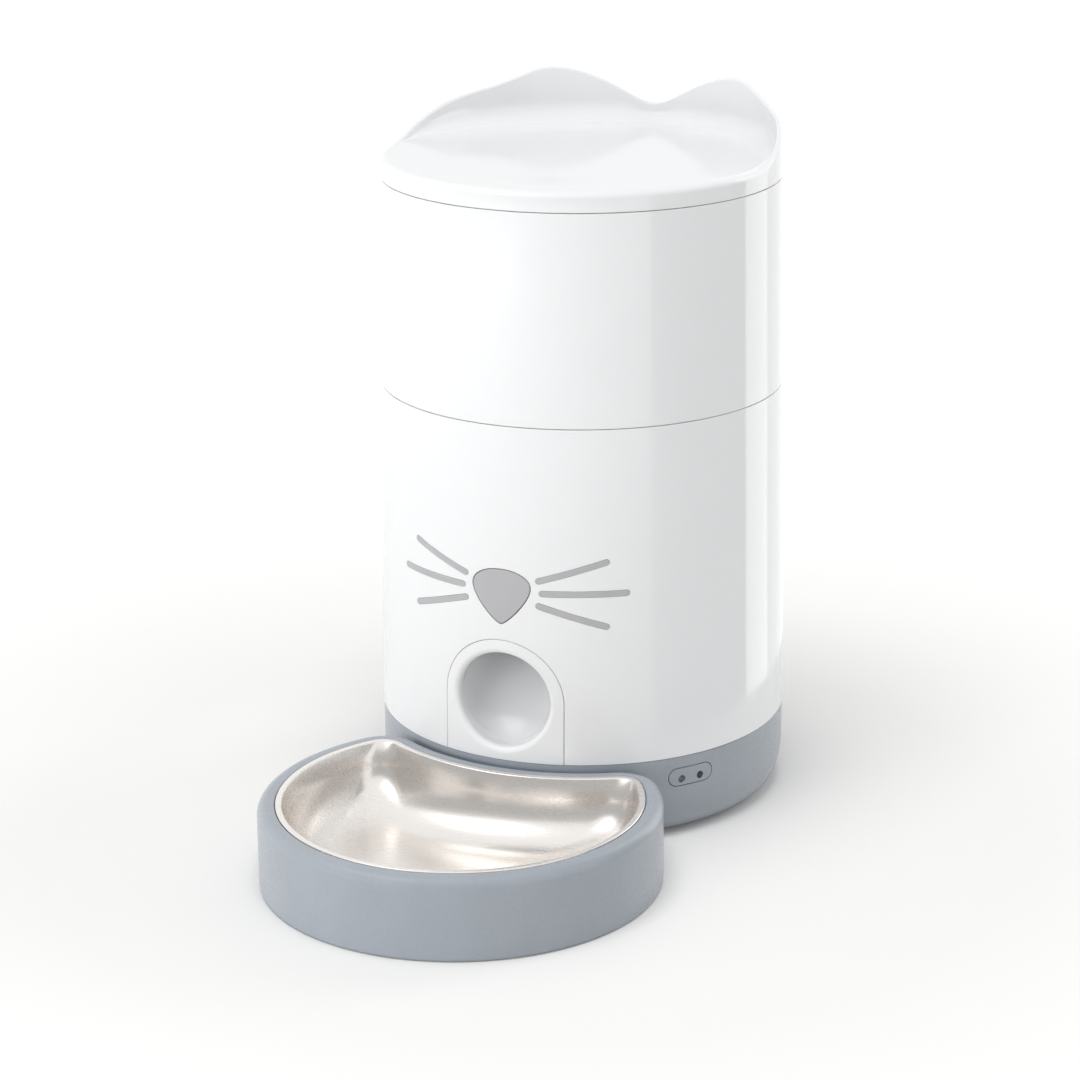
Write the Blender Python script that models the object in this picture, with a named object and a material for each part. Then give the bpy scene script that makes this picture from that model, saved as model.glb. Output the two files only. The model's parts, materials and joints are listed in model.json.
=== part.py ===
"""A smart pet feeder: a round food tower with a cat face, a dosing rotor, a chute and a crescent bowl.

The feeder is modelled about the tower's own axis: x to the right, -y to the front, z up from the floor.
The empty "feeder" then shifts the whole thing so that the middle of its floor plan is the origin.
"""
import math

import bmesh
import bpy
from mathutils import Matrix, Vector

MM = 0.001

# Gaps and cuts
FIT = 0.3 * MM               # between pieces that touch or slide
SEAM = 0.3 * MM              # visible seam between two casings
OVERRUN = 3 * MM             # how far a cutter runs past what it cuts
MERGE = 0.003 * MM           # corners nearer than this are one corner

WALL_CUT_DEPTH = 16 * MM     # reach of a cutter behind the tower's surface

# Tower casing
TOP_R = 100.0 * MM           # outer radius at the lid seam
BASE_R = 104.16 * MM         # outer radius at the seam to the grey base
LID_SEAM_Z = 318.2 * MM
MID_SEAM_Z = 213.7 * MM
BASE_SEAM_Z = 42.6 * MM
WALL = 2.6 * MM
SPIGOT_WALL = 2.2 * MM
SPIGOT_LENGTH = 3.8 * MM

# Lid
LID_HEIGHT = 10.3 * MM       # from the lid seam to the lid's top
LID_WALL = 2.4 * MM
SHOULDER_R = 3.0 * MM
EAR_HEIGHT = 27.1 * MM
EAR_WALL = 3.0 * MM
EAR_LEAN = 1.6 * MM          # how far the ear's crest leans in from the wall
EAR_FOOT = 5.0 * MM          # fillet from the lid's top into the ear
PANEL_THICK = 2.4 * MM
PANEL_RING_DEPTH = 16.8 * MM
PANEL_RING_WALL = 4.0 * MM
SEAL_HEIGHT = 3.4 * MM
SEAL_THICK = 2.0 * MM
SEAL_LIP = 0.4 * MM          # how far the seal stands out of its groove
SEAL_FROM_EDGE = 2.5 * MM
DRY_CUP_R = 31.0 * MM
DRY_CUP_WALL = 2.4 * MM
DRY_CUP_DEPTH = 16.0 * MM
DRY_COVER_WALL = 2.2 * MM
DRY_COVER_LIP = 5.0 * MM
DRY_SLOTS = 6
DRY_SLOT_WIDTH = 3.0 * MM
DRY_SLOT_LENGTH = 14.0 * MM
DRY_SLOT_CENTRE = 17.0 * MM

# Food container and dosing unit
LIP_DEPTH = 7.8 * MM
LIP_WALL = 2.0 * MM
FUNNEL_RISE = 8.3 * MM       # top of the funnel above the middle seam
CHAMBER_DROP = 14.2 * MM     # top of the dosing chamber below the middle seam
CHAMBER_HEIGHT = 27.2 * MM
CHAMBER_R = 66.0 * MM
CHAMBER_WALL = 2.5 * MM
DOSING_THICK = 2.7 * MM
OUTLET_INSET = 4.0 * MM      # outlet's outer edge inside the chamber's wall
OUTLET_HALF_ANGLE = math.radians(19)
ROTOR_HEIGHT = 19.6 * MM
ROTOR_RUN = 1.2 * MM         # running gap between the vanes and the chamber
ROTOR_HUB_R = 12.0 * MM
VANES = 8
VANE_THICK = 2.4 * MM
ROTOR_SHAFT_R = 3.0 * MM
BUSH_WALL = 2.7 * MM
DOG_LENGTH = 7.5 * MM
DOG_WIDTH = 5.6 * MM
DOG_THICK = 2.2 * MM
DOG_RISE = 0.4 * MM          # top of the flat end above the deck's underside
GUARD_HALF_ANGLE = math.radians(38)
GUARD_THICK = 2.0 * MM
GUARD_RISE = 1.0 * MM        # above the vanes
GUARD_IN = 15.0 * MM
FLAP_THICK = 1.4 * MM
FLAP_HEIGHT = 5.8 * MM
FLAP_RUN = 0.5 * MM
STIRRER_RISE = 1.5 * MM      # middle of the stirrer above the chamber
STIRRER_HALF_SPAN = 46.0 * MM
STIRRER_HUB_R = 7.0 * MM
STIRRER_HUB_HEIGHT = 8.0 * MM
STIRRER_BAR = 4.5 * MM

# Deck and drop duct
DECK_DROP = 9.2 * MM         # underside of the deck below the dosing chamber
DECK_THICK = 2.5 * MM
DECK_LEDGE = 6.0 * MM
DECK_LEDGE_THICK = 2.8 * MM
DECK_RING_GAP = 0.9 * MM
DECK_RING_WALL = 2.0 * MM
DECK_RING_HEIGHT = 9.0 * MM
DUCT_HALF_WIDTH = 21.0 * MM
DUCT_STEP = 1.5 * MM         # duct's front wall outside the outlet
DUCT_CLEARANCE = 3.15 * MM   # between the duct and the gearbox behind it
DUCT_WALL = 2.3 * MM
DUCT_FLANGE = 4.0 * MM
DUCT_RISE = 24.9 * MM        # foot of the duct above the middle of the chute's mouth

# Drive
MODULE = 1.5 * MM
DRIVE_TEETH = 26
PINION_TEETH = 14
PRESSURE_ANGLE = math.radians(20)
ADDENDUM_SHARE = 0.9
DEDENDUM_SHARE = 1.25
BACKLASH = 0.24 * MM
GEAR_DROP = 33.6 * MM        # underside of the gears below the deck
GEAR_THICK = 8.0 * MM
GEAR_RAISE = 2.1 * MM        # gears above the gearbox floor
OUTPUT_R = 4.0 * MM
COUPLER_R = 8.0 * MM
COUPLER_HEIGHT = 12.3 * MM
GEARBOX_WALL = 2.2 * MM
GEARBOX_FLOOR = 2.4 * MM
GEARBOX_ROOM = 2.0 * MM      # between the teeth and the housing
GEARBOX_HEIGHT = 17.0 * MM
GEARBOX_EAR_R = 5.0 * MM
GEARBOX_EAR_OUT = 3.2 * MM
GEARBOX_EAR_HEIGHT = 5.0 * MM
GEARBOX_EAR_Y = 2.0 * MM
MOTOR_R = 12.0 * MM
MOTOR_LENGTH = 34.0 * MM
MOTOR_BOSS_R = 4.0 * MM
MOTOR_BOSS = 3.0 * MM
MOTOR_SHAFT_R = 1.5 * MM

# Screws
SCREW_R = 1.5 * MM
SCREW_HEAD_R = 3.0 * MM
SCREW_HEAD = 1.8 * MM

# Face on the front: nose button and whiskers
NOSE_Z = 128.4 * MM
NOSE_WIDTH = 31.0 * MM
NOSE_HEIGHT = 28.0 * MM
NOSE_GAP = 0.35 * MM
NOSE_FLANGE = 1.2 * MM
NOSE_FLANGE_THICK = 1.5 * MM
NOSE_TRAVEL = 1.2 * MM
NOSE_STEM_R = 3.0 * MM
WHISKER_WIDTH = 2.8 * MM
WHISKER_GAP = 0.25 * MM
WHISKERS = (
    (3.4 * MM, 8.6 * MM, 37.3 * MM, 19.1 * MM),
    (5.0 * MM, 2.5 * MM, 47.0 * MM, 3.0 * MM),
    (3.4 * MM, -3.6 * MM, 36.8 * MM, -13.7 * MM),
)                            # way round the wall from the nose's side, and rise, of each inner and outer end
WHISKER_MIDDLE = 23.1 * MM   # way round the wall from the nose's side to the middle of the insert
WHISKER_BACK_THICK = 1.2 * MM
WHISKER_BACK_FROM = 6.0 * MM
WHISKER_BACK_TO = 34.8 * MM
WHISKER_BACK_MARGIN = 2.4 * MM
BUTTON_BOARD_DEPTH = 16.86 * MM  # face of the button's board behind the wall
BUTTON_BOARD_HALF_WIDTH = 18.0 * MM
BUTTON_BOARD_LOW_Z = 107.0 * MM
BUTTON_BOARD_HIGH_Z = 154.5 * MM
BOARD_THICK = 1.6 * MM
BOARD_BOSS_R = 3.0 * MM
BOARD_BOSS_SPOTS = ((-13.0 * MM, 111.0 * MM), (13.0 * MM, 111.0 * MM), (0.0, 150.5 * MM))
SWITCH_SIZE = 6.2 * MM
SWITCH_BODY = 3.6 * MM
SWITCH_PLUNGER_R = 1.7 * MM
SWITCH_PLUNGER = 1.2 * MM
SWITCH_SLACK = 0.3 * MM      # left between button and switch at the end of the travel

# Chute
MOUTH_Z = 73.6 * MM
MOUTH_R = 24.3 * MM
ARCH_R = 31.5 * MM           # half width of the arch panel, and the radius of its top
CHUTE_WALL = 2.2 * MM
CHUTE_SLOPE = 0.754          # rise over run of the trough, as a ratio
CHUTE_BEND = 9.16 * MM       # level stretch behind the base's radius
CHUTE_REACH = 2.1 * MM       # trough's rear end behind the duct's inside
CHUTE_INSET = 1.0 * MM
CHUTE_SQUARE_SHARES = ((0.0, 2.0), (0.25, 3.0), (0.6, 4.0), (1.0, 5.0))

# Grey base
BASE_STEP = 0.16 * MM        # base set in from the white wall
BASE_DRAFT = 0.2 * MM        # narrowing of the base above its rounding
BASE_ROUND_WIDTH = 9.5 * MM
BASE_ROUND_HEIGHT = 20.0 * MM
BASE_BOTTOM_Z = 2.0 * MM
BASE_FLOOR_THICK = 6.6 * MM
RIM_WIDTH = 6.3 * MM         # flat rim round the bottom plate
SHELF_WIDTH = 5.0 * MM
SHELF_Z = 6.1 * MM
BASE_BOSS_R = 5.0 * MM
BASE_BOSS_TOP_Z = 18.0 * MM
BASE_BOSS_INSET = 6.0 * MM   # from the bottom plate's edge
BASE_SCREW_LENGTH = 10.0 * MM
FOOT_R = 8.0 * MM
FOOT_INSET = 16.0 * MM       # from the bottom plate's edge
FOOT_SUNK = 1.2 * MM
CELL_R = 7.1 * MM
CELL_LENGTH = 50.4 * MM
CELL_SPACE = 0.7 * MM        # between neighbouring cells
CELLS = 4
CELL_TIP_R = 2.6 * MM
CELL_TIP = 1.0 * MM
CONTACT_THICK = 0.8 * MM
CONTACT_HEIGHT = 11.0 * MM
BAY_Y = 8.0 * MM
BAY_WALL = 1.8 * MM
DOOR_TAB_WIDTH = 14.0 * MM
DOOR_TAB_LENGTH = 9.0 * MM
DOOR_BOSS_R = 4.0 * MM
DOOR_BOSS_HEIGHT = 9.0 * MM
DOOR_BOSS_OUT = 2.6 * MM

# Electronics
BOARD_Z = 52.3 * MM
BOARD_HALF_WIDTH = 36.0 * MM
BOARD_FRONT_Y = -16.0 * MM
BOARD_REAR_Y = 34.0 * MM
BOARD_POST_R = 3.0 * MM
BOARD_POST_IN = 12.0 * MM
RADIO_HALF_WIDTH = 9.0 * MM
RADIO_LENGTH = 25.0 * MM
RADIO_HEIGHT = 3.0 * MM
SOCKET_HALF_WIDTH = 7.0 * MM
SOCKET_LENGTH = 6.0 * MM
CAPACITOR_R = 5.0 * MM
CAPACITOR_HEIGHT = 12.0 * MM
INLET_Z = 30.0 * MM
INLET_R = 5.2 * MM
INLET_SOCKET_R = 3.3 * MM
INLET_SOCKET_DEPTH = 11.0 * MM
INLET_BODY_HALF = 5.6 * MM
INLET_BODY_DEPTH = 14.0 * MM
INLET_SUNK = 0.5 * MM

# Status window on the base
STATUS_ANGLE = math.radians(54.1)
STATUS_Z = 31.8 * MM
STATUS_WIDTH = 25.4 * MM
STATUS_HEIGHT = 9.3 * MM
STATUS_GAP = 0.25 * MM
STATUS_DOT_R = 1.6 * MM
STATUS_DOT_OUT = 5.4 * MM
STATUS_DOT_DROP = 1.2 * MM
STATUS_DOT_LENGTH = 2.0 * MM
STATUS_BOARD_HALF_WIDTH = 11.0 * MM
STATUS_BOARD_HALF_HEIGHT = 4.2 * MM
STATUS_BOARD_GAP = 1.4 * MM

# Bowl
BOWL_R = 98.0 * MM
BOWL_GAP = 1.04 * MM         # between the white wall's line and the bowl's hollow back
BOWL_REACH = 46.7 * MM       # from the hollow back to the middle of the bowl
BOWL_CORNER_R = 20.0 * MM
BOWL_RIM_Z = 40.8 * MM
BOWL_ROUND = 5.0 * MM
BOWL_FOOT_ROUND = 2.0 * MM
BOWL_RIM_WIDTH = 8.45 * MM
BOWL_LEDGE = 1.9 * MM
BOWL_SKIN = 2.5 * MM
BOWL_LEDGE_DROP = 1.5 * MM
BOWL_FLOOR = 2.5 * MM
BOWL_FLOOR_GAP = 1.0 * MM    # under the tub's floor
TONGUE_HALF_WIDTH = 18.0 * MM
TONGUE_LOW_Z = 9.6 * MM
TONGUE_HIGH_Z = 13.8 * MM
TONGUE_REACH = 7.5 * MM      # how far the tongue enters the base
STEEL = 1.0 * MM
LIP_WIDTH = 3.0 * MM
LIP_PROUD = 0.3 * MM
INSERT_FLOOR_Z = 9.0 * MM
INSERT_SLOPE = 6.0 * MM      # how far the insert's wall leans in on the way down
INSERT_FILLET = 8.0 * MM

# Segments of round shapes
SHELL_SEGMENTS = 40
LID_SEGMENTS = 40
INNER_SEGMENTS = 32
ROD_SEGMENTS = 16
SCREW_SEGMENTS = 10
MOUTH_SEGMENTS = 28

# Height of the ears' edge at an angle from the rear, as a share of EAR_HEIGHT
EAR_SHARES = (
    (0, 0.32), (12, 0.62), (22, 0.88), (32, 1.0), (36, 1.0), (43, 0.83), (52, 0.675),
    (62, 0.57), (72, 0.44), (81, 0.23), (88, 0.04), (94, 0.0), (180, 0.0),
)

# Outline of the nose from its top centre to its tip, as shares of its half width and of its height
NOSE_SHARES = (
    (0.0, 0.475), (0.27, 0.465), (0.52, 0.435), (0.78, 0.365), (0.94, 0.28), (1.0, 0.17), (0.95, 0.04),
    (0.75, -0.15), (0.45, -0.345), (0.17, -0.48), (0.0, -0.525),
)

# Places that follow from the sizes above
LID_TOP_Z = LID_SEAM_Z + LID_HEIGHT
FUNNEL_TOP_Z = MID_SEAM_Z + FUNNEL_RISE
CHAMBER_TOP_Z = MID_SEAM_Z - CHAMBER_DROP
CHAMBER_BOTTOM_Z = CHAMBER_TOP_Z - CHAMBER_HEIGHT
STIRRER_Z = CHAMBER_TOP_Z + STIRRER_RISE
DECK_Z = CHAMBER_BOTTOM_Z - DECK_DROP
DOG_TOP_Z = DECK_Z + DOG_RISE
GEAR_Z = DECK_Z - GEAR_DROP
GEARBOX_REACH = MODULE * (DRIVE_TEETH / 2 + ADDENDUM_SHARE) + GEARBOX_ROOM + GEARBOX_WALL
DUCT_REAR = GEARBOX_REACH + DUCT_CLEARANCE + DUCT_WALL
DUCT_FRONT = CHAMBER_R - OUTLET_INSET + DUCT_STEP
OUTLET_IN = DUCT_REAR + DUCT_STEP / 3
OUTLET_OUT = CHAMBER_R - OUTLET_INSET
DUCT_FOOT_Z = MOUTH_Z + DUCT_RISE
CHUTE_BEND_Y = BASE_R - CHUTE_BEND
CHUTE_REAR_Y = DUCT_REAR - CHUTE_REACH
BASE_TOP_R = BASE_R - BASE_STEP
BASE_FOOT_R = BASE_TOP_R - BASE_DRAFT - BASE_ROUND_WIDTH
RIM_R = BASE_FOOT_R - RIM_WIDTH
BASE_BOSS_OUT = RIM_R - BASE_BOSS_INSET
FOOT_OUT = RIM_R - FOOT_INSET
CELL_PITCH = 2 * CELL_R + CELL_SPACE
BOWL_BACK_R = BASE_R + BOWL_GAP
BOWL_FORWARD = BOWL_BACK_R + BOWL_REACH
TONGUE_REACH_Y = BASE_TOP_R - TONGUE_REACH

# Where the feeder stands: the middle of its floor plan is the origin
BODY_Y = (BOWL_FORWARD + BOWL_R - BASE_R) / 2

# Colour, roughness and metallic value of each finish
FINISHES = {
    "white_plastic": ((0.90, 0.91, 0.92), 0.25, 0.0),
    "blue_grey_plastic": ((0.50, 0.54, 0.59), 0.40, 0.0),
    "grey_plastic": ((0.52, 0.52, 0.53), 0.45, 0.0),
    "dark_plastic": ((0.06, 0.06, 0.07), 0.50, 0.0),
    "inner_plastic": ((0.75, 0.76, 0.77), 0.50, 0.0),
    "clear_lens": ((0.80, 0.85, 0.85), 0.05, 0.0),
    "silicone": ((0.70, 0.71, 0.72), 0.70, 0.0),
    "rubber": ((0.10, 0.10, 0.11), 0.85, 0.0),
    "steel": ((0.72, 0.70, 0.67), 0.22, 1.0),
    "gear_plastic": ((0.85, 0.83, 0.76), 0.45, 0.0),
    "circuit_board": ((0.05, 0.25, 0.14), 0.50, 0.0),
    "brass": ((0.75, 0.60, 0.32), 0.30, 1.0),
    "cell_jacket": ((0.16, 0.20, 0.24), 0.35, 0.0),
}


def clear_scene():
    for old in list(bpy.data.objects):
        bpy.data.objects.remove(old, do_unlink=True)


def make_material(name):
    colour, roughness, metallic = FINISHES[name]
    material = bpy.data.materials.new(name)
    material.use_nodes = True
    shader = material.node_tree.nodes["Principled BSDF"]
    shader.inputs["Base Color"].default_value = (*colour, 1.0)
    shader.inputs["Roughness"].default_value = roughness
    shader.inputs["Metallic"].default_value = metallic
    return material


# Outlines, as lists of (u, v) points

def arc(radius, start, end, count, centre=(0.0, 0.0)):
    """Points along an arc, both ends included."""
    points = []
    for step in range(count + 1):
        angle = start + (end - start) * step / count
        points.append((centre[0] + radius * math.cos(angle), centre[1] + radius * math.sin(angle)))
    return points


def ring(radius, count, centre=(0.0, 0.0)):
    return arc(radius, 0.0, math.tau, count, centre)[:-1]


def rectangle(u_low, u_high, v_low, v_high):
    return [(u_low, v_low), (u_high, v_low), (u_high, v_high), (u_low, v_high)]


def slot(start, end, width, round_steps=5):
    """A straight bar with round ends."""
    along = math.atan2(end[1] - start[1], end[0] - start[0])
    quarter = math.pi / 2
    far_end = arc(width / 2, along - quarter, along + quarter, round_steps, end)
    near_end = arc(width / 2, along + quarter, along + 3 * quarter, round_steps, start)
    return far_end + near_end


def pill(width, height, centre):
    half = (width - height) / 2
    return slot((centre[0] - half, centre[1]), (centre[0] + half, centre[1]), height)


def sector(inner, outer, half_angle, steps=5):
    """A piece of a ring, centred on the front."""
    front = -math.pi / 2
    near = arc(inner, front + half_angle, front - half_angle, steps)
    return arc(outer, front - half_angle, front + half_angle, steps) + near


def arch(radius, centre_z, low_z, steps=14):
    top = arc(radius, 0.0, math.pi, steps, (0.0, centre_z))
    return top + [(-radius, low_z), (radius, low_z)]


def grown(outline, margin):
    """The outline moved outward by a margin, for an outline that runs anticlockwise."""
    moved = []
    for before, here, after in zip(outline[-1:] + outline[:-1], outline, outline[1:] + outline[:1]):
        along = (Vector(after) - Vector(before)).normalized()
        moved.append((here[0] + along.y * margin, here[1] - along.x * margin))
    return moved


def nose_outline(margin):
    half_width = NOSE_WIDTH / 2
    right = [(u * half_width, NOSE_Z + v * NOSE_HEIGHT) for u, v in NOSE_SHARES]
    left = [(-u, v) for u, v in right[1:-1]]
    return grown(left + right[::-1], margin)


def hull(near_radius, far_radius, spacing, steps=6):
    """Outline round a circle about the tower's axis and one further back."""
    touch = math.acos((near_radius - far_radius) / spacing)
    back = math.pi / 2
    far_arc = arc(far_radius, back - touch, back + touch, steps, (0.0, spacing))
    near_arc = arc(near_radius, back + touch, back + math.tau - touch, steps * 2)
    return far_arc + near_arc


def crescent(inset, outer_steps=24, corner_steps=4, back_steps=8):
    """The bowl's outline moved inward: a circle whose back is hollowed to clear the tower."""
    outer = BOWL_R - inset
    back = BOWL_BACK_R + inset
    corner = max(BOWL_CORNER_R - inset, BOWL_CORNER_R / 6)
    corner_y = ((outer - corner) ** 2 - (back + corner) ** 2 - BOWL_FORWARD ** 2) / (2 * BOWL_FORWARD)
    corner_x = math.sqrt((back + corner) ** 2 - corner_y ** 2)
    outer_angle = math.atan2(corner_y + BOWL_FORWARD, corner_x)
    back_angle = math.atan2(corner_y, corner_x)
    bowl_centre = (0.0, -BOWL_FORWARD)
    front = arc(outer, -math.pi - outer_angle, outer_angle, outer_steps, bowl_centre)
    right = arc(corner, outer_angle, back_angle + math.pi, corner_steps, (corner_x, corner_y))
    hollow = arc(back, back_angle, -math.pi - back_angle, back_steps)
    left = [(-x, y) for x, y in reversed(right)]
    return front[:-1] + right[:-1] + hollow[:-1] + left[:-1]


# Solids

def wall_radius(z):
    """Outer radius of the tower's wall, which widens steadily from the lid seam to the base seam."""
    return TOP_R + (BASE_R - TOP_R) * (LID_SEAM_Z - z) / (LID_SEAM_Z - BASE_SEAM_Z)


def add_piece(name, shape, finish=None):
    bmesh.ops.recalc_face_normals(shape, faces=shape.faces)
    mesh = bpy.data.meshes.new(name)
    shape.to_mesh(mesh)
    shape.free()
    piece = bpy.data.objects.new(name, mesh)
    bpy.context.collection.objects.link(piece)
    if finish:
        mesh.materials.append(MATERIALS[finish])
    return piece


def loft(name, rings, finish=None, closed=False):
    """Skin a row of rings; a ring of one point is a tip. Open rows get flat caps."""
    shape = bmesh.new()
    rows = [[shape.verts.new(point) for point in points] for points in rings]
    pairs = list(zip(rows, rows[1:]))
    if closed:
        pairs.append((rows[-1], rows[0]))
    for low, high in pairs:
        count = max(len(low), len(high))
        for index in range(count):
            after = (index + 1) % count
            if len(low) == 1:
                shape.faces.new((low[0], high[after], high[index]))
            elif len(high) == 1:
                shape.faces.new((low[index], low[after], high[0]))
            else:
                shape.faces.new((low[index], low[after], high[after], high[index]))
    if not closed:
        for row in (rows[0], rows[-1]):
            if len(row) > 1:
                shape.faces.new(row)
    return add_piece(name, shape, finish)


def turned(name, profile, segments, finish=None, centre=(0.0, 0.0)):
    """Turn a profile of (radius, z) about a vertical axis. It ends on the axis or closes on itself."""
    rings = []
    for radius, z in profile:
        if radius == 0.0:
            rings.append([(centre[0], centre[1], z)])
        else:
            rings.append([(x, y, z) for x, y in ring(radius, segments, centre)])
    on_axis = profile[0][0] == 0.0 and profile[-1][0] == 0.0
    return loft(name, rings, finish, closed=not on_axis)


def extruded(name, outline, low, high, finish=None, frame=None):
    """Extrude an outline along z, or along the third axis of a frame."""
    frame = frame or Matrix.Identity(4)
    rings = []
    for height in (low, high):
        rings.append([frame @ Vector((u, v, height)) for u, v in outline])
    return loft(name, rings, finish)


def block(name, lows, highs, finish=None):
    outline = rectangle(lows[0], highs[0], lows[1], highs[1])
    return extruded(name, outline, lows[2], highs[2], finish)


def rod(name, radius, low, high, finish=None, centre=(0.0, 0.0), segments=ROD_SEGMENTS):
    return extruded(name, ring(radius, segments, centre), low, high, finish)


def sleeve(name, inner, outer, low, high, finish=None, segments=ROD_SEGMENTS):
    profile = [(outer, low), (outer, high), (inner, high), (inner, low)]
    return turned(name, profile, segments, finish)


def wall_frame(angle):
    """Outlines on the wall: u along the wall to the right, v up, and the extrusion straight outward."""
    along = Vector((math.cos(angle), math.sin(angle), 0.0))
    outward = Vector((math.sin(angle), -math.cos(angle), 0.0))
    columns = (along, Vector((0.0, 0.0, 1.0)), outward)
    return Matrix([[column[row] for column in columns] + [0.0] for row in range(3)] + [[0.0, 0.0, 0.0, 1.0]])


def tidy_mesh(mesh):
    """Weld the near-double corners that a cut through a faceted wall leaves."""
    shape = bmesh.new()
    shape.from_mesh(mesh)
    bmesh.ops.remove_doubles(shape, verts=shape.verts, dist=MERGE)
    bmesh.ops.dissolve_degenerate(shape, edges=shape.edges, dist=MERGE)
    shape.to_mesh(mesh)
    shape.free()


def combine(piece, tool, operation):
    """Join to, cut from or keep inside another solid, which is used up."""
    modifier = piece.modifiers.new("shape", "BOOLEAN")
    modifier.operation = operation
    modifier.object = tool
    bpy.context.view_layer.update()
    result = piece.evaluated_get(bpy.context.evaluated_depsgraph_get())
    mesh = bpy.data.meshes.new_from_object(result)
    tidy_mesh(mesh)
    piece.modifiers.clear()
    piece.data = mesh
    bpy.data.objects.remove(tool, do_unlink=True)
    return piece


def join(piece, *tools):
    for tool in tools:
        combine(piece, tool, "UNION")
    return piece


def cut(piece, *tools):
    for tool in tools:
        combine(piece, tool, "DIFFERENCE")
    return piece


def keep_inside(piece, tool):
    return combine(piece, tool, "INTERSECT")


def wall_band(name, depth_in, depth_out, low, high, finish=None):
    """A ring that follows the tower's tapered wall between two depths below its surface."""
    profile = [
        (wall_radius(low) - depth_out, low), (wall_radius(high) - depth_out, high),
        (wall_radius(high) - depth_in, high), (wall_radius(low) - depth_in, low),
    ]
    return turned(name, profile, SHELL_SEGMENTS, finish)


# Lid

def ear_share(angle):
    """Height share of the ears' edge in a direction, read between the rows of the table."""
    degrees = abs(math.degrees(math.remainder(angle - math.pi / 2, math.tau)))
    for (low, low_share), (high, high_share) in zip(EAR_SHARES, EAR_SHARES[1:]):
        if degrees <= high:
            return low_share + (high_share - low_share) * (degrees - low) / (high - low)
    return 0.0


def lid_section(angle):
    """Points of (radius, z) from the lid's top, over the ear or shoulder, round to the underside."""
    share = ear_share(angle)
    rise = EAR_HEIGHT * share
    crest_r = TOP_R - EAR_LEAN * share
    low_z = LID_SEAM_Z + SEAM / 2
    inner_r = TOP_R - LID_WALL
    under_z = LID_TOP_Z - LID_WALL
    wall_r = crest_r - EAR_WALL
    foot_rise = min(EAR_FOOT, rise)
    return [
        (wall_r - EAR_FOOT, LID_TOP_Z),
        (wall_r - EAR_FOOT / 4, LID_TOP_Z + foot_rise / 4),
        (wall_r, LID_TOP_Z + foot_rise),
        (crest_r - EAR_WALL * 0.6, LID_TOP_Z + rise),
        (crest_r - EAR_WALL / 4, LID_TOP_Z + rise - SHOULDER_R / 4),
        (TOP_R, LID_TOP_Z - SHOULDER_R),
        (TOP_R, low_z),
        (inner_r, low_z),
        (inner_r, under_z - SHOULDER_R),
        (inner_r - SHOULDER_R, under_z),
    ]


def make_lid_shell():
    angles = [math.tau * step / LID_SEGMENTS for step in range(LID_SEGMENTS)]
    sections = [lid_section(angle) for angle in angles]
    rings = [[(0.0, 0.0, LID_TOP_Z)]]
    for row in range(len(sections[0])):
        rings.append([
            (section[row][0] * math.cos(angle), section[row][0] * math.sin(angle), section[row][1])
            for angle, section in zip(angles, sections)
        ])
    rings.append([(0.0, 0.0, LID_TOP_Z - LID_WALL)])
    return loft("lid_shell", rings, "white_plastic", closed=False)


def make_lid_inside():
    """The lid's lower panel with its ring and seal, and the drying cup with its puck and twist cover."""
    top_z = LID_TOP_Z - LID_WALL - FIT
    under_z = top_z - PANEL_THICK
    ring_low_z = top_z - PANEL_RING_DEPTH
    container_r = wall_radius(ring_low_z) - WALL
    ring_r = TOP_R - WALL - 3 * FIT
    groove_r = container_r - FIT - SEAL_THICK
    seal_low_z = ring_low_z + SEAL_FROM_EDGE
    seal_high_z = seal_low_z + SEAL_HEIGHT
    cup_low_z = under_z - DRY_CUP_DEPTH
    cup_inner_r = DRY_CUP_R - DRY_CUP_WALL
    panel = turned("lid_inner_panel", [
        (0.0, top_z), (ring_r - SHOULDER_R, top_z), (ring_r, top_z - SHOULDER_R),
        (ring_r, seal_high_z + FIT), (groove_r - FIT, seal_high_z + FIT),
        (groove_r - FIT, seal_low_z - FIT), (ring_r, seal_low_z - FIT),
        (ring_r, ring_low_z), (ring_r - PANEL_RING_WALL, ring_low_z),
        (ring_r - PANEL_RING_WALL, under_z), (DRY_CUP_R, under_z),
        (DRY_CUP_R, cup_low_z), (cup_inner_r, cup_low_z),
        (cup_inner_r, under_z), (0.0, under_z),
    ], SHELL_SEGMENTS, "inner_plastic")
    seal = turned("lid_seal", [
        (groove_r, seal_low_z), (groove_r, seal_high_z),
        (groove_r + SEAL_THICK - SEAL_LIP, seal_high_z),
        (groove_r + SEAL_THICK, (seal_low_z + seal_high_z) / 2),
        (groove_r + SEAL_THICK - SEAL_LIP, seal_low_z),
    ], SHELL_SEGMENTS, "silicone")
    puck = rod("drying_puck", cup_inner_r - FIT, cup_low_z, under_z - FIT, "inner_plastic")
    floor_z = cup_low_z - FIT
    cover_r = DRY_CUP_R + FIT + DRY_COVER_WALL
    cover = turned("drying_cover", [
        (0.0, floor_z), (DRY_CUP_R + FIT, floor_z), (DRY_CUP_R + FIT, floor_z + DRY_COVER_LIP),
        (cover_r, floor_z + DRY_COVER_LIP), (cover_r, floor_z - PANEL_THICK), (0.0, floor_z - PANEL_THICK),
    ], SHELL_SEGMENTS, "grey_plastic")
    half = DRY_SLOT_LENGTH / 2
    for index in range(DRY_SLOTS):
        turn = Matrix.Rotation(math.tau * index / DRY_SLOTS, 4, "Z")
        outline = slot((DRY_SLOT_CENTRE - half, 0.0), (DRY_SLOT_CENTRE + half, 0.0), DRY_SLOT_WIDTH, 2)
        cut(cover, extruded("slot", outline, floor_z - PANEL_THICK - OVERRUN, floor_z + OVERRUN, frame=turn))
    return [panel, seal, puck], cover


# Food container and dosing unit

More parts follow.
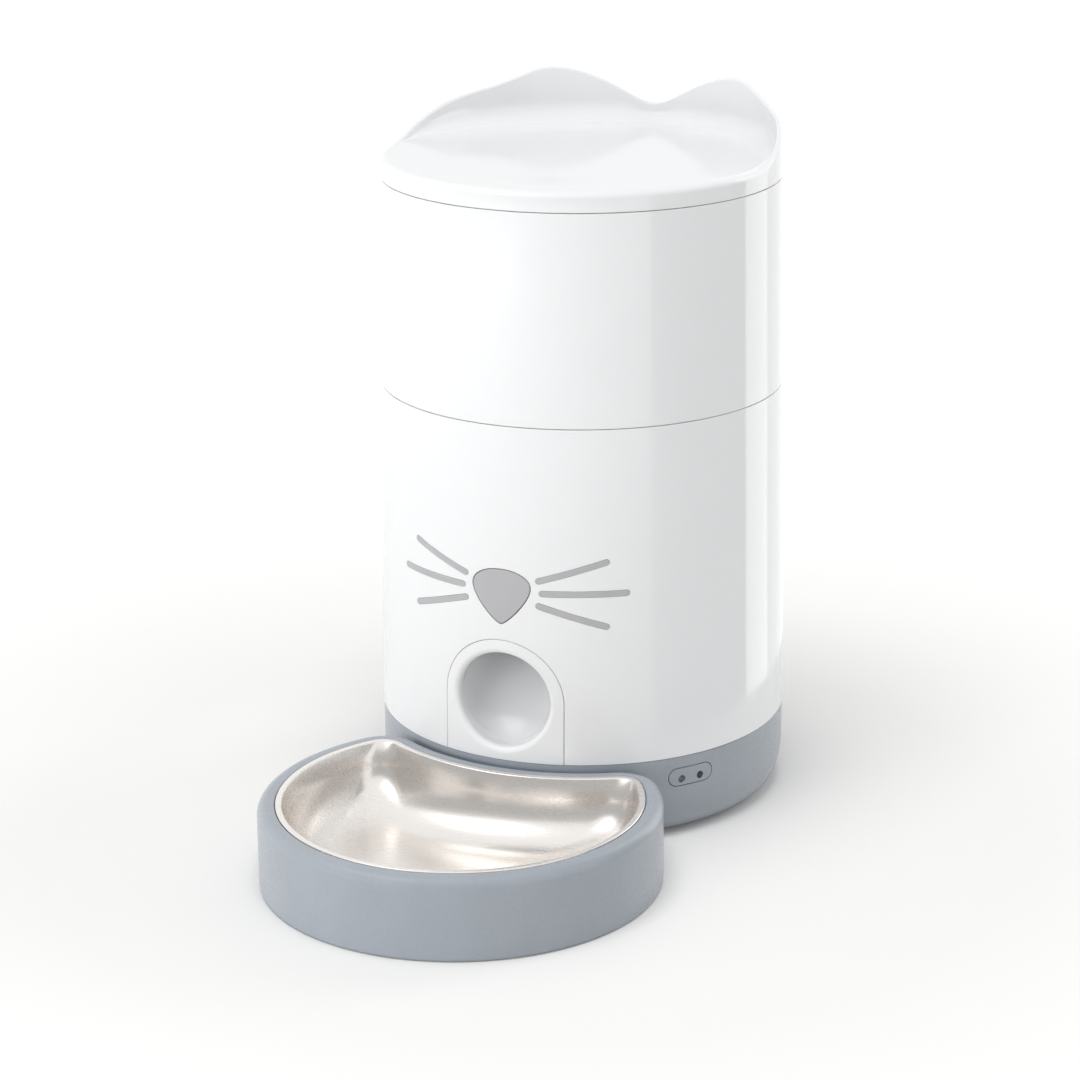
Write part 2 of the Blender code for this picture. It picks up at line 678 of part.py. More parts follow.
def make_container():
    low_z = MID_SEAM_Z + SEAM / 2
    high_z = LID_SEAM_Z - SEAM / 2
    lip_low_z = low_z - LIP_DEPTH
    lip_r = min(wall_radius(low_z), wall_radius(lip_low_z)) - WALL - FIT
    chamber_outer_r = CHAMBER_R + CHAMBER_WALL
    return turned("food_container", [
        (wall_radius(high_z), high_z), (wall_radius(low_z), low_z), (lip_r, low_z), (lip_r, lip_low_z),
        (lip_r - LIP_WALL, lip_low_z), (lip_r - LIP_WALL, FUNNEL_TOP_Z - 2 * CHAMBER_WALL),
        (chamber_outer_r, CHAMBER_TOP_Z - CHAMBER_WALL / 2), (chamber_outer_r, CHAMBER_BOTTOM_Z),
        (CHAMBER_R, CHAMBER_BOTTOM_Z), (CHAMBER_R, CHAMBER_TOP_Z),
        (wall_radius(FUNNEL_TOP_Z) - WALL, FUNNEL_TOP_Z), (wall_radius(high_z) - WALL, high_z),
    ], SHELL_SEGMENTS, "white_plastic")


def make_dosing_unit():
    """What hangs under the container and doesn't turn: plate, bush, outlet guard and wiper flap."""
    plate_top_z = CHAMBER_BOTTOM_Z - FIT
    plate_low_z = plate_top_z - DOSING_THICK
    bush_r = ROTOR_SHAFT_R + FIT + BUSH_WALL
    plate = sleeve("dosing_plate", bush_r + FIT, CHAMBER_R + CHAMBER_WALL, plate_low_z, plate_top_z,
                   "inner_plastic", INNER_SEGMENTS)
    outlet = sector(OUTLET_IN, OUTLET_OUT, OUTLET_HALF_ANGLE)
    cut(plate, extruded("outlet", outlet, plate_low_z - OVERRUN, plate_top_z + OVERRUN))
    bush = sleeve("rotor_bush", ROTOR_SHAFT_R + FIT, bush_r, plate_low_z, plate_top_z, "gear_plastic")
    guard_z = plate_top_z + FIT + ROTOR_HEIGHT + GUARD_RISE
    guard_outline = sector(GUARD_IN, CHAMBER_R - 2 * FIT, GUARD_HALF_ANGLE, 10)
    guard = extruded("outlet_guard", guard_outline, guard_z, guard_z + GUARD_THICK, "inner_plastic")
    flap_low_z = guard_z - GUARD_RISE + FLAP_RUN
    beside = Matrix.Rotation(GUARD_HALF_ANGLE - math.pi / 2, 4, "Z")
    flap_outline = rectangle(GUARD_IN, CHAMBER_R - 2 * FIT, FIT, FIT + FLAP_THICK)
    flap = extruded("wiper_flap", flap_outline, flap_low_z, flap_low_z + FLAP_HEIGHT, "silicone", beside)
    return [plate, bush, guard, flap]


def make_rotor():
    low_z = CHAMBER_BOTTOM_Z
    high_z = low_z + ROTOR_HEIGHT
    reach = CHAMBER_R - ROTOR_RUN
    half_vane = VANE_THICK / 2
    outline = []
    for index in range(VANES):
        turn = Matrix.Rotation(math.tau * index / VANES, 2)
        vane = rectangle(ROTOR_HUB_R, reach, -half_vane, half_vane)
        outline += [tuple(turn @ Vector(point)) for point in vane]
    rotor = extruded("dosing_rotor", outline, low_z, high_z, "silicone")
    cut(rotor, rod("bore", ROTOR_SHAFT_R + FIT, low_z - OVERRUN, high_z + OVERRUN))
    hub_high_z = STIRRER_Z + STIRRER_HUB_HEIGHT / 2
    hub_low_z = STIRRER_Z - STIRRER_HUB_HEIGHT / 2
    stirrer = rod("stirrer", STIRRER_HUB_R, hub_low_z, hub_high_z, "inner_plastic")
    half = STIRRER_BAR / 2
    arm = block("arm", (-STIRRER_HALF_SPAN, -half, STIRRER_Z - half),
                (STIRRER_HALF_SPAN, half, STIRRER_Z + half))
    join(stirrer, arm)
    cut(stirrer, rod("bore", ROTOR_SHAFT_R + FIT, hub_low_z - OVERRUN, hub_high_z + OVERRUN))
    shaft = rod("rotor_shaft", ROTOR_SHAFT_R, DOG_TOP_Z, hub_high_z + FIT, "steel")
    dog = block("dog", (-DOG_WIDTH / 2, -DOG_THICK / 2, DOG_TOP_Z - DOG_LENGTH),
                (DOG_WIDTH / 2, DOG_THICK / 2, DOG_TOP_Z + OVERRUN))
    join(shaft, dog)
    return [rotor, shaft, stirrer]


# Deck, duct and drive

def make_deck():
    low_z = DECK_Z
    high_z = DECK_Z + DECK_THICK
    edge_r = wall_radius(high_z) - WALL - FIT
    ring_r = CHAMBER_R + CHAMBER_WALL + DECK_RING_GAP
    hole_r = COUPLER_R + DECK_THICK
    deck = turned("top_deck", [
        (hole_r, low_z), (edge_r, low_z), (edge_r, high_z), (ring_r + DECK_RING_WALL, high_z),
        (ring_r + DECK_RING_WALL, high_z + DECK_RING_HEIGHT), (ring_r, high_z + DECK_RING_HEIGHT),
        (ring_r, high_z), (hole_r, high_z),
    ], SHELL_SEGMENTS, "inner_plastic")
    post_low_z = GEARBOX_COVER_Z + GEARBOX_FLOOR + FIT
    for spot in gearbox_ears():
        join(deck, rod("post", GEARBOX_EAR_R - FIT, post_low_z, low_z + DECK_THICK / 2, centre=spot))
        cut(deck, rod("hole", SCREW_R + FIT, post_low_z - OVERRUN, low_z - OVERRUN, centre=spot,
                      segments=SCREW_SEGMENTS))
    near = (-DUCT_HALF_WIDTH, -DUCT_FRONT, low_z - OVERRUN)
    far = (DUCT_HALF_WIDTH, -DUCT_REAR, high_z + OVERRUN)
    return cut(deck, block("outlet", near, far))


def make_duct():
    side = DUCT_HALF_WIDTH + DUCT_WALL
    front = -DUCT_FRONT - DUCT_WALL
    rear = -DUCT_REAR + DUCT_WALL
    top_z = DECK_Z - FIT
    duct = block("drop_duct", (-side, front, DUCT_FOOT_Z), (side, rear, top_z), "inner_plastic")
    flange_low_z = top_z - DECK_THICK
    join(duct, block("flange", (-side - DUCT_FLANGE, front - DUCT_FLANGE, flange_low_z),
                     (side + DUCT_FLANGE, rear, top_z)))
    near = (-DUCT_HALF_WIDTH, -DUCT_FRONT, DUCT_FOOT_Z - OVERRUN)
    far = (DUCT_HALF_WIDTH, -DUCT_REAR, top_z + OVERRUN)
    return cut(duct, block("inside", near, far))


def pitch_radius(teeth):
    return MODULE * teeth / 2


def tip_radius(teeth):
    return pitch_radius(teeth) + MODULE * ADDENDUM_SHARE


GEAR_SPACING = pitch_radius(DRIVE_TEETH) + pitch_radius(PINION_TEETH)
GEARBOX_Z = GEAR_Z - GEARBOX_FLOOR - GEAR_RAISE
GEARBOX_COVER_Z = GEARBOX_Z + GEARBOX_HEIGHT + FIT


def gear_outline(teeth, first_tooth):
    """Involute teeth, thinned by the backlash, with one tooth centred on the angle given."""
    pitch_r = pitch_radius(teeth)
    base_r = pitch_r * math.cos(PRESSURE_ANGLE)
    root_r = pitch_r - MODULE * DEDENDUM_SHARE
    tip_r = tip_radius(teeth)
    half_at_pitch = math.pi / (2 * teeth) - BACKLASH / (4 * pitch_r)
    flank = []
    for radius in (root_r, pitch_r, tip_r):
        roll = math.acos(min(1.0, base_r / radius))
        spread = math.tan(PRESSURE_ANGLE) - PRESSURE_ANGLE - (math.tan(roll) - roll)
        flank.append((radius, half_at_pitch + spread))
    points = []
    for tooth in range(teeth):
        middle = first_tooth + math.tau * tooth / teeth
        for radius, half in flank:
            points.append((radius * math.cos(middle - half), radius * math.sin(middle - half)))
        for radius, half in reversed(flank):
            points.append((radius * math.cos(middle + half), radius * math.sin(middle + half)))
    return points


def make_gear(name, teeth, first_tooth, bore_r, centre_y):
    outline = [(x, y + centre_y) for x, y in gear_outline(teeth, first_tooth)]
    gear = extruded(name, outline, GEAR_Z, GEAR_Z + GEAR_THICK, "gear_plastic")
    bore = rod("bore", bore_r, GEAR_Z - OVERRUN, GEAR_Z + GEAR_THICK + OVERRUN, centre=(0.0, centre_y))
    return cut(gear, bore)


def gearbox_ears():
    ear_x = tip_radius(DRIVE_TEETH) + GEARBOX_ROOM + GEARBOX_WALL + GEARBOX_EAR_OUT
    return [(-ear_x, GEARBOX_EAR_Y), (ear_x, GEARBOX_EAR_Y)]


def gearbox_outline(margin):
    near_r = tip_radius(DRIVE_TEETH) + GEARBOX_ROOM + margin
    far_r = tip_radius(PINION_TEETH) + GEARBOX_ROOM + margin
    return hull(near_r, far_r, GEAR_SPACING)


def make_gearbox():
    """Housing, cover, the bush in the cover and the two screws that hang it all from the deck."""
    floor_z = GEARBOX_Z + GEARBOX_FLOOR
    rim_z = GEARBOX_Z + GEARBOX_HEIGHT
    cover_high_z = GEARBOX_COVER_Z + GEARBOX_FLOOR
    ear_low_z = rim_z - GEARBOX_EAR_HEIGHT
    bush_r = OUTPUT_R + FIT + BUSH_WALL
    housing = extruded("gearbox_housing", gearbox_outline(GEARBOX_WALL), GEARBOX_Z, rim_z, "dark_plastic")
    cover = extruded("gearbox_cover", gearbox_outline(GEARBOX_WALL), GEARBOX_COVER_Z, cover_high_z,
                     "dark_plastic")
    for spot in gearbox_ears():
        join(housing, rod("ear", GEARBOX_EAR_R, ear_low_z, rim_z, centre=spot))
        join(cover, rod("ear", GEARBOX_EAR_R, GEARBOX_COVER_Z, cover_high_z, centre=spot))
    cut(housing, extruded("room", gearbox_outline(0.0), floor_z, rim_z + OVERRUN))
    cut(housing, rod("hole", MOTOR_BOSS_R + FIT, GEARBOX_Z - OVERRUN, floor_z + OVERRUN,
                     centre=(0.0, GEAR_SPACING)))
    cut(cover, rod("hole", bush_r + FIT, GEARBOX_COVER_Z - OVERRUN, cover_high_z + OVERRUN))
    screws = []
    for side, spot in zip(("left", "right"), gearbox_ears()):
        for piece in (housing, cover):
            cut(piece, rod("hole", SCREW_R + FIT, ear_low_z - OVERRUN, cover_high_z + OVERRUN, centre=spot,
                           segments=SCREW_SEGMENTS))
        screw = make_screw("gearbox_screw_" + side, GEARBOX_HEIGHT)
        screw.location = (*spot, ear_low_z - FIT)
        screws.append(screw)
    bush = sleeve("output_bush", OUTPUT_R + FIT, bush_r, GEARBOX_COVER_Z, cover_high_z + FIT, "brass")
    return [housing, cover, bush] + screws


def make_output_shaft():
    """Stub shaft with a cup on top, whose slot drives the rotor shaft's flat end."""
    low_z = GEARBOX_Z + GEARBOX_FLOOR + FIT
    cup_high_z = DECK_Z - 2 * FIT
    cup_low_z = cup_high_z - COUPLER_HEIGHT
    shaft = turned("output_shaft", [
        (0.0, low_z), (OUTPUT_R, low_z), (OUTPUT_R, cup_low_z), (COUPLER_R, cup_low_z),
        (COUPLER_R, cup_high_z), (0.0, cup_high_z),
    ], ROD_SEGMENTS, "steel")
    slot_low_z = DOG_TOP_Z - DOG_LENGTH - FIT
    half_width = DOG_WIDTH / 2 + FIT
    half_thick = DOG_THICK / 2 + FIT
    return cut(shaft, block("slot", (-half_width, -half_thick, slot_low_z),
                            (half_width, half_thick, cup_high_z + OVERRUN)))


def make_motor():
    can_top_z = GEARBOX_Z - FIT
    return turned("motor", [
        (0.0, can_top_z - MOTOR_LENGTH), (MOTOR_R, can_top_z - MOTOR_LENGTH), (MOTOR_R, can_top_z),
        (MOTOR_BOSS_R, can_top_z), (MOTOR_BOSS_R, can_top_z + MOTOR_BOSS),
        (MOTOR_SHAFT_R, can_top_z + MOTOR_BOSS), (MOTOR_SHAFT_R, GEAR_Z + GEAR_THICK + FIT),
        (0.0, GEAR_Z + GEAR_THICK + FIT),
    ], ROD_SEGMENTS, "steel", (0.0, GEAR_SPACING))


def make_screw(name, length):
    """A screw with its head below and its origin under the part it clamps."""
    screw = rod(name, SCREW_HEAD_R, -SCREW_HEAD, 0.0, "steel", segments=SCREW_SEGMENTS)
    return join(screw, rod("thread", SCREW_R, -SCREW_HEAD / 2, length, segments=SCREW_SEGMENTS))


# Lower casing and the face

def wall_cutter(name, outline, angle=0.0):
    """A prism through the tower's wall, deep enough for the wall's curve across the outline."""
    return extruded(name, outline, BASE_R - WALL_CUT_DEPTH, BASE_R + OVERRUN, frame=wall_frame(angle))


def whisker_turn(side):
    """Direction of the middle of a whisker insert from the front; side is 1 on the right, -1 on the left."""
    return side * (NOSE_WIDTH / 2 + WHISKER_MIDDLE) / wall_radius(NOSE_Z)


def whisker_across(side, way):
    """Straight distance from the middle of an insert to a place given by its way round the wall."""
    return side * wall_radius(NOSE_Z) * math.sin((way - WHISKER_MIDDLE) / wall_radius(NOSE_Z))


def whisker_tool(side, margin):
    """Three prisms through the wall, one for each whisker."""
    tool = None
    for inner_way, inner_rise, outer_way, outer_rise in WHISKERS:
        ends = [(whisker_across(side, inner_way), NOSE_Z + inner_rise),
                (whisker_across(side, outer_way), NOSE_Z + outer_rise)]
        prism = wall_cutter("whisker", slot(*ends, WHISKER_WIDTH + 2 * margin, 4), whisker_turn(side))
        tool = join(tool, prism) if tool else prism
    return tool


def make_whiskers(name, side):
    """A grey insert: three bars that fill the slots from inside, on a common backing."""
    low_z = NOSE_Z - NOSE_HEIGHT
    high_z = NOSE_Z + NOSE_HEIGHT
    back_depth = WALL + FIT
    insert = wall_band(name, 0.0, back_depth + WHISKER_BACK_THICK / 2, low_z, high_z, "grey_plastic")
    keep_inside(insert, whisker_tool(side, 0.0))
    backing = wall_band("backing", back_depth, back_depth + WHISKER_BACK_THICK, low_z, high_z)
    corners = []
    for way, low, high in ((WHISKER_BACK_FROM, WHISKERS[2][1], WHISKERS[0][1]),
                           (WHISKER_BACK_TO, WHISKERS[2][3], WHISKERS[0][3])):
        along = whisker_across(side, way)
        corners.append((along, NOSE_Z + low - WHISKER_BACK_MARGIN))
        corners.append((along, NOSE_Z + high + WHISKER_BACK_MARGIN))
    outline = [corners[0], corners[2], corners[3], corners[1]]
    keep_inside(backing, wall_cutter("backing_shape", outline, whisker_turn(side)))
    return join(insert, backing)


def button_board_out():
    return wall_radius(NOSE_Z) - BUTTON_BOARD_DEPTH


def make_body_shell():
    low_z = BASE_SEAM_Z + SEAM / 2
    high_z = MID_SEAM_Z - SEAM / 2
    ledge_z = DECK_Z - FIT
    ledge_low_z = ledge_z - DECK_LEDGE_THICK
    shell = turned("body_shell", [
        (wall_radius(high_z), high_z), (wall_radius(low_z), low_z), (wall_radius(low_z) - WALL, low_z),
        (wall_radius(ledge_low_z) - WALL, ledge_low_z - DECK_LEDGE),
        (wall_radius(ledge_low_z) - WALL - DECK_LEDGE, ledge_low_z),
        (wall_radius(ledge_z) - WALL - DECK_LEDGE, ledge_z),
        (wall_radius(ledge_z) - WALL, ledge_z), (wall_radius(high_z) - WALL, high_z),
    ], SHELL_SEGMENTS, "white_plastic")
    for x, z in BOARD_BOSS_SPOTS:
        boss = ring(BOARD_BOSS_R, SCREW_SEGMENTS, (x, z))
        boss_high = wall_radius(z) - WALL * 0.75
        join(shell, extruded("boss", boss, button_board_out() + FIT, boss_high, frame=wall_frame(0.0)))
    doorway = arch(ARCH_R + SEAM, MOUTH_Z, low_z - OVERRUN)
    cut(shell, wall_cutter("doorway", doorway), wall_cutter("nose_hole", nose_outline(NOSE_GAP)))
    for side in (-1, 1):
        cut(shell, whisker_tool(side, WHISKER_GAP))
    return shell


def make_nose_button():
    """The nose follows the wall; a flange behind the wall holds it in, and a stem meets the switch."""
    low_z = NOSE_Z - NOSE_HEIGHT
    high_z = NOSE_Z + NOSE_HEIGHT
    flange_depth = WALL + FIT
    button = wall_band("nose_button", 0.0, flange_depth + NOSE_FLANGE_THICK / 2, low_z, high_z,
                       "grey_plastic")
    keep_inside(button, wall_cutter("nose_shape", nose_outline(0.0)))
    flange = wall_band("flange", flange_depth, flange_depth + NOSE_FLANGE_THICK, low_z, high_z)
    keep_inside(flange, wall_cutter("flange_shape", nose_outline(NOSE_FLANGE)))
    join(button, flange)
    stem_end = button_board_out() + FIT + SWITCH_BODY + SWITCH_PLUNGER + NOSE_TRAVEL + SWITCH_SLACK
    stem_root = wall_radius(NOSE_Z) - flange_depth - NOSE_FLANGE_THICK / 2
    stem = ring(NOSE_STEM_R, SCREW_SEGMENTS, (0.0, NOSE_Z))
    return join(button, extruded("stem", stem, stem_end, stem_root, frame=wall_frame(0.0)))


def make_button_board():
    """The small board behind the nose, and the switch on it."""
    front = wall_frame(0.0)
    board_outline = rectangle(-BUTTON_BOARD_HALF_WIDTH, BUTTON_BOARD_HALF_WIDTH,
                              BUTTON_BOARD_LOW_Z, BUTTON_BOARD_HIGH_Z)
    board = extruded("button_board", board_outline, button_board_out() - BOARD_THICK, button_board_out(),
                     "circuit_board", front)
    half = SWITCH_SIZE / 2
    body_low = button_board_out() + FIT
    body_high = body_low + SWITCH_BODY
    body = rectangle(-half, half, NOSE_Z - half, NOSE_Z + half)
    switch = extruded("nose_switch", body, body_low, body_high, "dark_plastic", front)
    plunger = ring(SWITCH_PLUNGER_R, SCREW_SEGMENTS, (0.0, NOSE_Z))
    join(switch, extruded("plunger", plunger, body_high - SWITCH_PLUNGER, body_high + SWITCH_PLUNGER,
                          frame=front))
    return [board, switch]


# Chute

def chute_section(out, radius, square):
    """A slice across the chute, square to its run: round at the mouth and squarer towards the rear."""
    rise = max(0.0, CHUTE_BEND_Y - out) * CHUTE_SLOPE
    points = []
    for step in range(MOUTH_SEGMENTS):
        angle = math.tau * step / MOUTH_SEGMENTS
        across, up = math.cos(angle), math.sin(angle)
        reach = radius / (abs(across) ** square + abs(up) ** square) ** (1 / square)
        points.append((across * reach, -out, MOUTH_Z + rise + up * reach))
    return points


def chute_tube(name, radius, inset, rear_out):
    """The chute's channel out to a radius, kept inside the arch so that the chute slides straight out."""
    run = CHUTE_BEND_Y - rear_out
    rings = [chute_section(BASE_R + OVERRUN, radius, CHUTE_SQUARE_SHARES[0][1])]
    for share, square in CHUTE_SQUARE_SHARES:
        rings.append(chute_section(CHUTE_BEND_Y - run * share, radius, square))
    tube = loft(name, rings)
    outline = arch(ARCH_R - inset, MOUTH_Z, BASE_SEAM_Z)
    prism = extruded("arch", outline, rear_out - OVERRUN, BASE_R + 2 * OVERRUN, frame=wall_frame(0.0))
    return keep_inside(tube, prism)


def make_chute():
    low_z = BASE_SEAM_Z + SEAM / 2
    high_z = MOUTH_Z + ARCH_R + OVERRUN
    panel = wall_band("chute", 0.0, WALL, low_z, high_z, "white_plastic")
    keep_inside(panel, wall_cutter("panel_shape", arch(ARCH_R, MOUTH_Z, low_z - OVERRUN)))
    trough = chute_tube("trough", MOUTH_R + CHUTE_WALL, CHUTE_INSET, CHUTE_REAR_Y)
    core_low_z = BASE_SEAM_Z - OVERRUN
    core = turned("core", [
        (0.0, core_low_z), (wall_radius(core_low_z) - WALL / 2, core_low_z),
        (wall_radius(high_z) - WALL / 2, high_z), (0.0, high_z),
    ], SHELL_SEGMENTS)
    keep_inside(trough, core)
    join(panel, trough)
    cut(panel, chute_tube("channel", MOUTH_R, CHUTE_INSET + CHUTE_WALL, CHUTE_REAR_Y - OVERRUN))
    side = ARCH_R + OVERRUN
    duct_front = -DUCT_FRONT - DUCT_WALL - CHUTE_INSET
    return cut(panel, block("under_duct", (-side, duct_front, DUCT_FOOT_Z - FIT),
                            (side, 0.0, high_z + OVERRUN)))


# Grey base

def base_curve(inset, floor, steps=3):
    """The base's bottom rounding, from the wall down to the flat, moved inward by a wall and a floor."""
    centre_z = BASE_BOTTOM_Z + BASE_ROUND_HEIGHT
    width = BASE_ROUND_WIDTH - inset
    height = BASE_ROUND_HEIGHT - floor
    points = []
    for step in range(steps + 1):
        angle = math.pi / 2 * step / steps
        points.append((BASE_FOOT_R + width * math.cos(angle), centre_z - height * math.sin(angle)))
    return points


def make_base_shell():
    top_z = BASE_SEAM_Z - SEAM / 2
    spigot_r = wall_radius(top_z) - WALL - FIT
    spigot_inner_r = spigot_r - SPIGOT_WALL
    inner = base_curve(WALL, BASE_FLOOR_THICK, 2)[::-1]
    shell = turned("base_shell", [(BASE_TOP_R, top_z)] + base_curve(0.0, 0.0) + [
        (RIM_R, BASE_BOTTOM_Z), (RIM_R, SHELF_Z), (RIM_R - SHELF_WIDTH, SHELF_Z),
        (RIM_R - SHELF_WIDTH, BASE_BOTTOM_Z + BASE_FLOOR_THICK),
    ] + inner + [
        (BASE_TOP_R - WALL, top_z - 2 * WALL), (spigot_inner_r, top_z - WALL / 2),
        (spigot_inner_r, top_z + SPIGOT_LENGTH), (spigot_r, top_z + SPIGOT_LENGTH), (spigot_r, top_z),
    ], SHELL_SEGMENTS, "blue_grey_plastic")
    for spot in base_screw_spots():
        join(shell, rod("boss", BASE_BOSS_R, SHELF_Z, BASE_BOSS_TOP_Z, centre=spot, segments=SCREW_SEGMENTS))
        cut(shell, rod("hole", SCREW_R + FIT, SHELF_Z - OVERRUN, BASE_BOSS_TOP_Z - OVERRUN, centre=spot,
                       segments=SCREW_SEGMENTS))
    side = TONGUE_HALF_WIDTH + FIT
    cut(shell, block("tongue_slot", (-side, -BOWL_BACK_R - OVERRUN, TONGUE_LOW_Z - FIT),
                     (side, -TONGUE_REACH_Y + OVERRUN, TONGUE_HIGH_Z + FIT)))
    window = pill(STATUS_WIDTH + 2 * STATUS_GAP, STATUS_HEIGHT + 2 * STATUS_GAP, (0.0, STATUS_Z))
    cut(shell, wall_cutter("window", window, STATUS_ANGLE))
    inlet = ring(INLET_R + FIT, ROD_SEGMENTS, (0.0, INLET_Z))
    return cut(shell, wall_cutter("inlet_hole", inlet, math.pi))


def on_circle(radius, first, count):
    turns = [first + math.tau * index / count for index in range(count)]
    return [(radius * math.cos(turn), radius * math.sin(turn)) for turn in turns]


def base_screw_spots():
    return on_circle(BASE_BOSS_OUT, 0.0, 4)


def foot_spots():
    return on_circle(FOOT_OUT, math.pi / 4, 4)


# The cells lie on the door, so the bay's sizes follow from the cells and the contacts
DOOR_TOP_Z = SHELF_Z - FIT
CELL_Z = DOOR_TOP_Z + FIT + CELL_R
BAY_HALF_X = CELL_LENGTH / 2 + CONTACT_THICK + 2 * FIT
BAY_HALF_Y = CELL_PITCH * (CELLS - 1) / 2 + CELL_R + FIT
BAY_ROOF_Z = CELL_Z + CELL_R + FIT


def make_bottom_plate():
    plate = rod("bottom_plate", RIM_R - FIT, BASE_BOTTOM_Z, DOOR_TOP_Z, "dark_plastic",
                segments=SHELL_SEGMENTS)
    outer_x = BAY_HALF_X + BAY_WALL
    outer_y = BAY_HALF_Y + BAY_WALL
    join(plate, block("bay", (-outer_x, BAY_Y - outer_y, BASE_BOTTOM_Z + FIT),
                      (outer_x, BAY_Y + outer_y, BAY_ROOF_Z + BAY_WALL)))
    boss_spot = (0.0, BAY_Y + outer_y + DOOR_BOSS_OUT)
    join(plate, rod("door_boss", DOOR_BOSS_R, DOOR_TOP_Z - FIT, DOOR_TOP_Z + DOOR_BOSS_HEIGHT,
                    centre=boss_spot))
    for x in (-BOARD_HALF_WIDTH + BOARD_POST_IN, BOARD_HALF_WIDTH - BOARD_POST_IN):
        for y in (BOARD_FRONT_Y + BOARD_POST_IN, BOARD_REAR_Y - BOARD_POST_IN):
            join(plate, rod("post", BOARD_POST_R, BAY_ROOF_Z + BAY_WALL / 2, BOARD_Z - FIT, centre=(x, y),
                            segments=SCREW_SEGMENTS))
    cut(plate, block("room", (-BAY_HALF_X, BAY_Y - BAY_HALF_Y, BASE_BOTTOM_Z - OVERRUN),
                     (BAY_HALF_X, BAY_Y + BAY_HALF_Y, BAY_ROOF_Z)))
    tab = DOOR_TAB_WIDTH / 2 + FIT
    cut(plate, block("tab_room", (-tab, BAY_Y, BASE_BOTTOM_Z - OVERRUN),
                     (tab, BAY_Y + BAY_HALF_Y + DOOR_TAB_LENGTH + FIT, DOOR_TOP_Z + FIT)))
    cut(plate, rod("hole", SCREW_R + FIT, DOOR_TOP_Z - OVERRUN, DOOR_TOP_Z + DOOR_BOSS_HEIGHT - BAY_WALL,
                   centre=boss_spot, segments=SCREW_SEGMENTS))
    for spot in base_screw_spots():
        cut(plate, rod("hole", SCREW_R + FIT, BASE_BOTTOM_Z - OVERRUN, DOOR_TOP_Z + OVERRUN, centre=spot,
                       segments=SCREW_SEGMENTS))
        cut(plate, rod("sink", SCREW_HEAD_R + FIT, BASE_BOTTOM_Z - OVERRUN,
                       BASE_BOTTOM_Z + SCREW_HEAD + 2 * FIT, centre=spot, segments=SCREW_SEGMENTS))
    for spot in foot_spots():
        cut(plate, rod("sink", FOOT_R + FIT, BASE_BOTTOM_Z - OVERRUN, BASE_BOTTOM_Z + FOOT_SUNK + FIT,
                       centre=spot))
    return plate


def make_base_fittings():
    """Rubber feet, and the screws of the bottom plate."""
    pieces = []
    for index, spot in enumerate(foot_spots(), 1):
        foot = rod("base_foot_" + str(index), FOOT_R, 0.0, BASE_BOTTOM_Z + FOOT_SUNK, "rubber")
        foot.location = (*spot, 0.0)
        pieces.append(foot)
    for index, spot in enumerate(base_screw_spots(), 1):
        screw = make_screw("base_screw_" + str(index), BASE_SCREW_LENGTH)
        screw.location = (*spot, BASE_BOTTOM_Z + SCREW_HEAD + FIT)
        pieces.append(screw)
    return pieces


def make_battery():
    """Back-up cells on a screwed door, with a contact plate at each end."""
    side = BAY_HALF_X - FIT
    door = block("battery_door", (-side, BAY_Y - BAY_HALF_Y + FIT, BASE_BOTTOM_Z),
                 (side, BAY_Y + BAY_HALF_Y - FIT, DOOR_TOP_Z), "dark_plastic")
    tab = DOOR_TAB_WIDTH / 2
    join(door, block("tab", (-tab, BAY_Y, BASE_BOTTOM_Z),
                     (tab, BAY_Y + BAY_HALF_Y + DOOR_TAB_LENGTH, DOOR_TOP_Z)))
    screw_spot = (0.0, BAY_Y + BAY_HALF_Y + BAY_WALL + DOOR_BOSS_OUT)
    sink_high_z = BASE_BOTTOM_Z + SCREW_HEAD + 2 * FIT
    cut(door, rod("hole", SCREW_R + FIT, BASE_BOTTOM_Z - OVERRUN, DOOR_TOP_Z + OVERRUN, centre=screw_spot,
                  segments=SCREW_SEGMENTS))
    cut(door, rod("sink", SCREW_HEAD_R + FIT, BASE_BOTTOM_Z - OVERRUN, sink_high_z, centre=screw_spot,
                  segments=SCREW_SEGMENTS))
    screw = make_screw("battery_door_screw", DOOR_BOSS_HEIGHT - BAY_WALL)
    screw.location = (*screw_spot, BASE_BOTTOM_Z + SCREW_HEAD + FIT)
    pieces = [door, screw]
    half = CELL_LENGTH / 2
    for index in range(CELLS):
        cell = turned("cell_" + str(index + 1), [
            (0.0, -half), (CELL_R, -half), (CELL_R, half - CELL_TIP), (CELL_TIP_R, half - CELL_TIP),
            (CELL_TIP_R, half), (0.0, half),
        ], ROD_SEGMENTS, "cell_jacket")
        facing = 1 if index % 2 else -1
        cell.rotation_euler = (0.0, facing * math.pi / 2, 0.0)
        cell.location = (0.0, BAY_Y + CELL_PITCH * (index - (CELLS - 1) / 2), CELL_Z)
        pieces.append(cell)
    for name, side in (("battery_contact_left", -1), ("battery_contact_right", 1)):
        near = side * (half + FIT)
        far = side * (half + FIT + CONTACT_THICK)
        pieces.append(block(name, (min(near, far), BAY_Y - BAY_HALF_Y + FIT, CELL_Z - CONTACT_HEIGHT / 2),
                            (max(near, far), BAY_Y + BAY_HALF_Y - FIT, CELL_Z + CONTACT_HEIGHT / 2), "brass"))
    return pieces


# Electronics

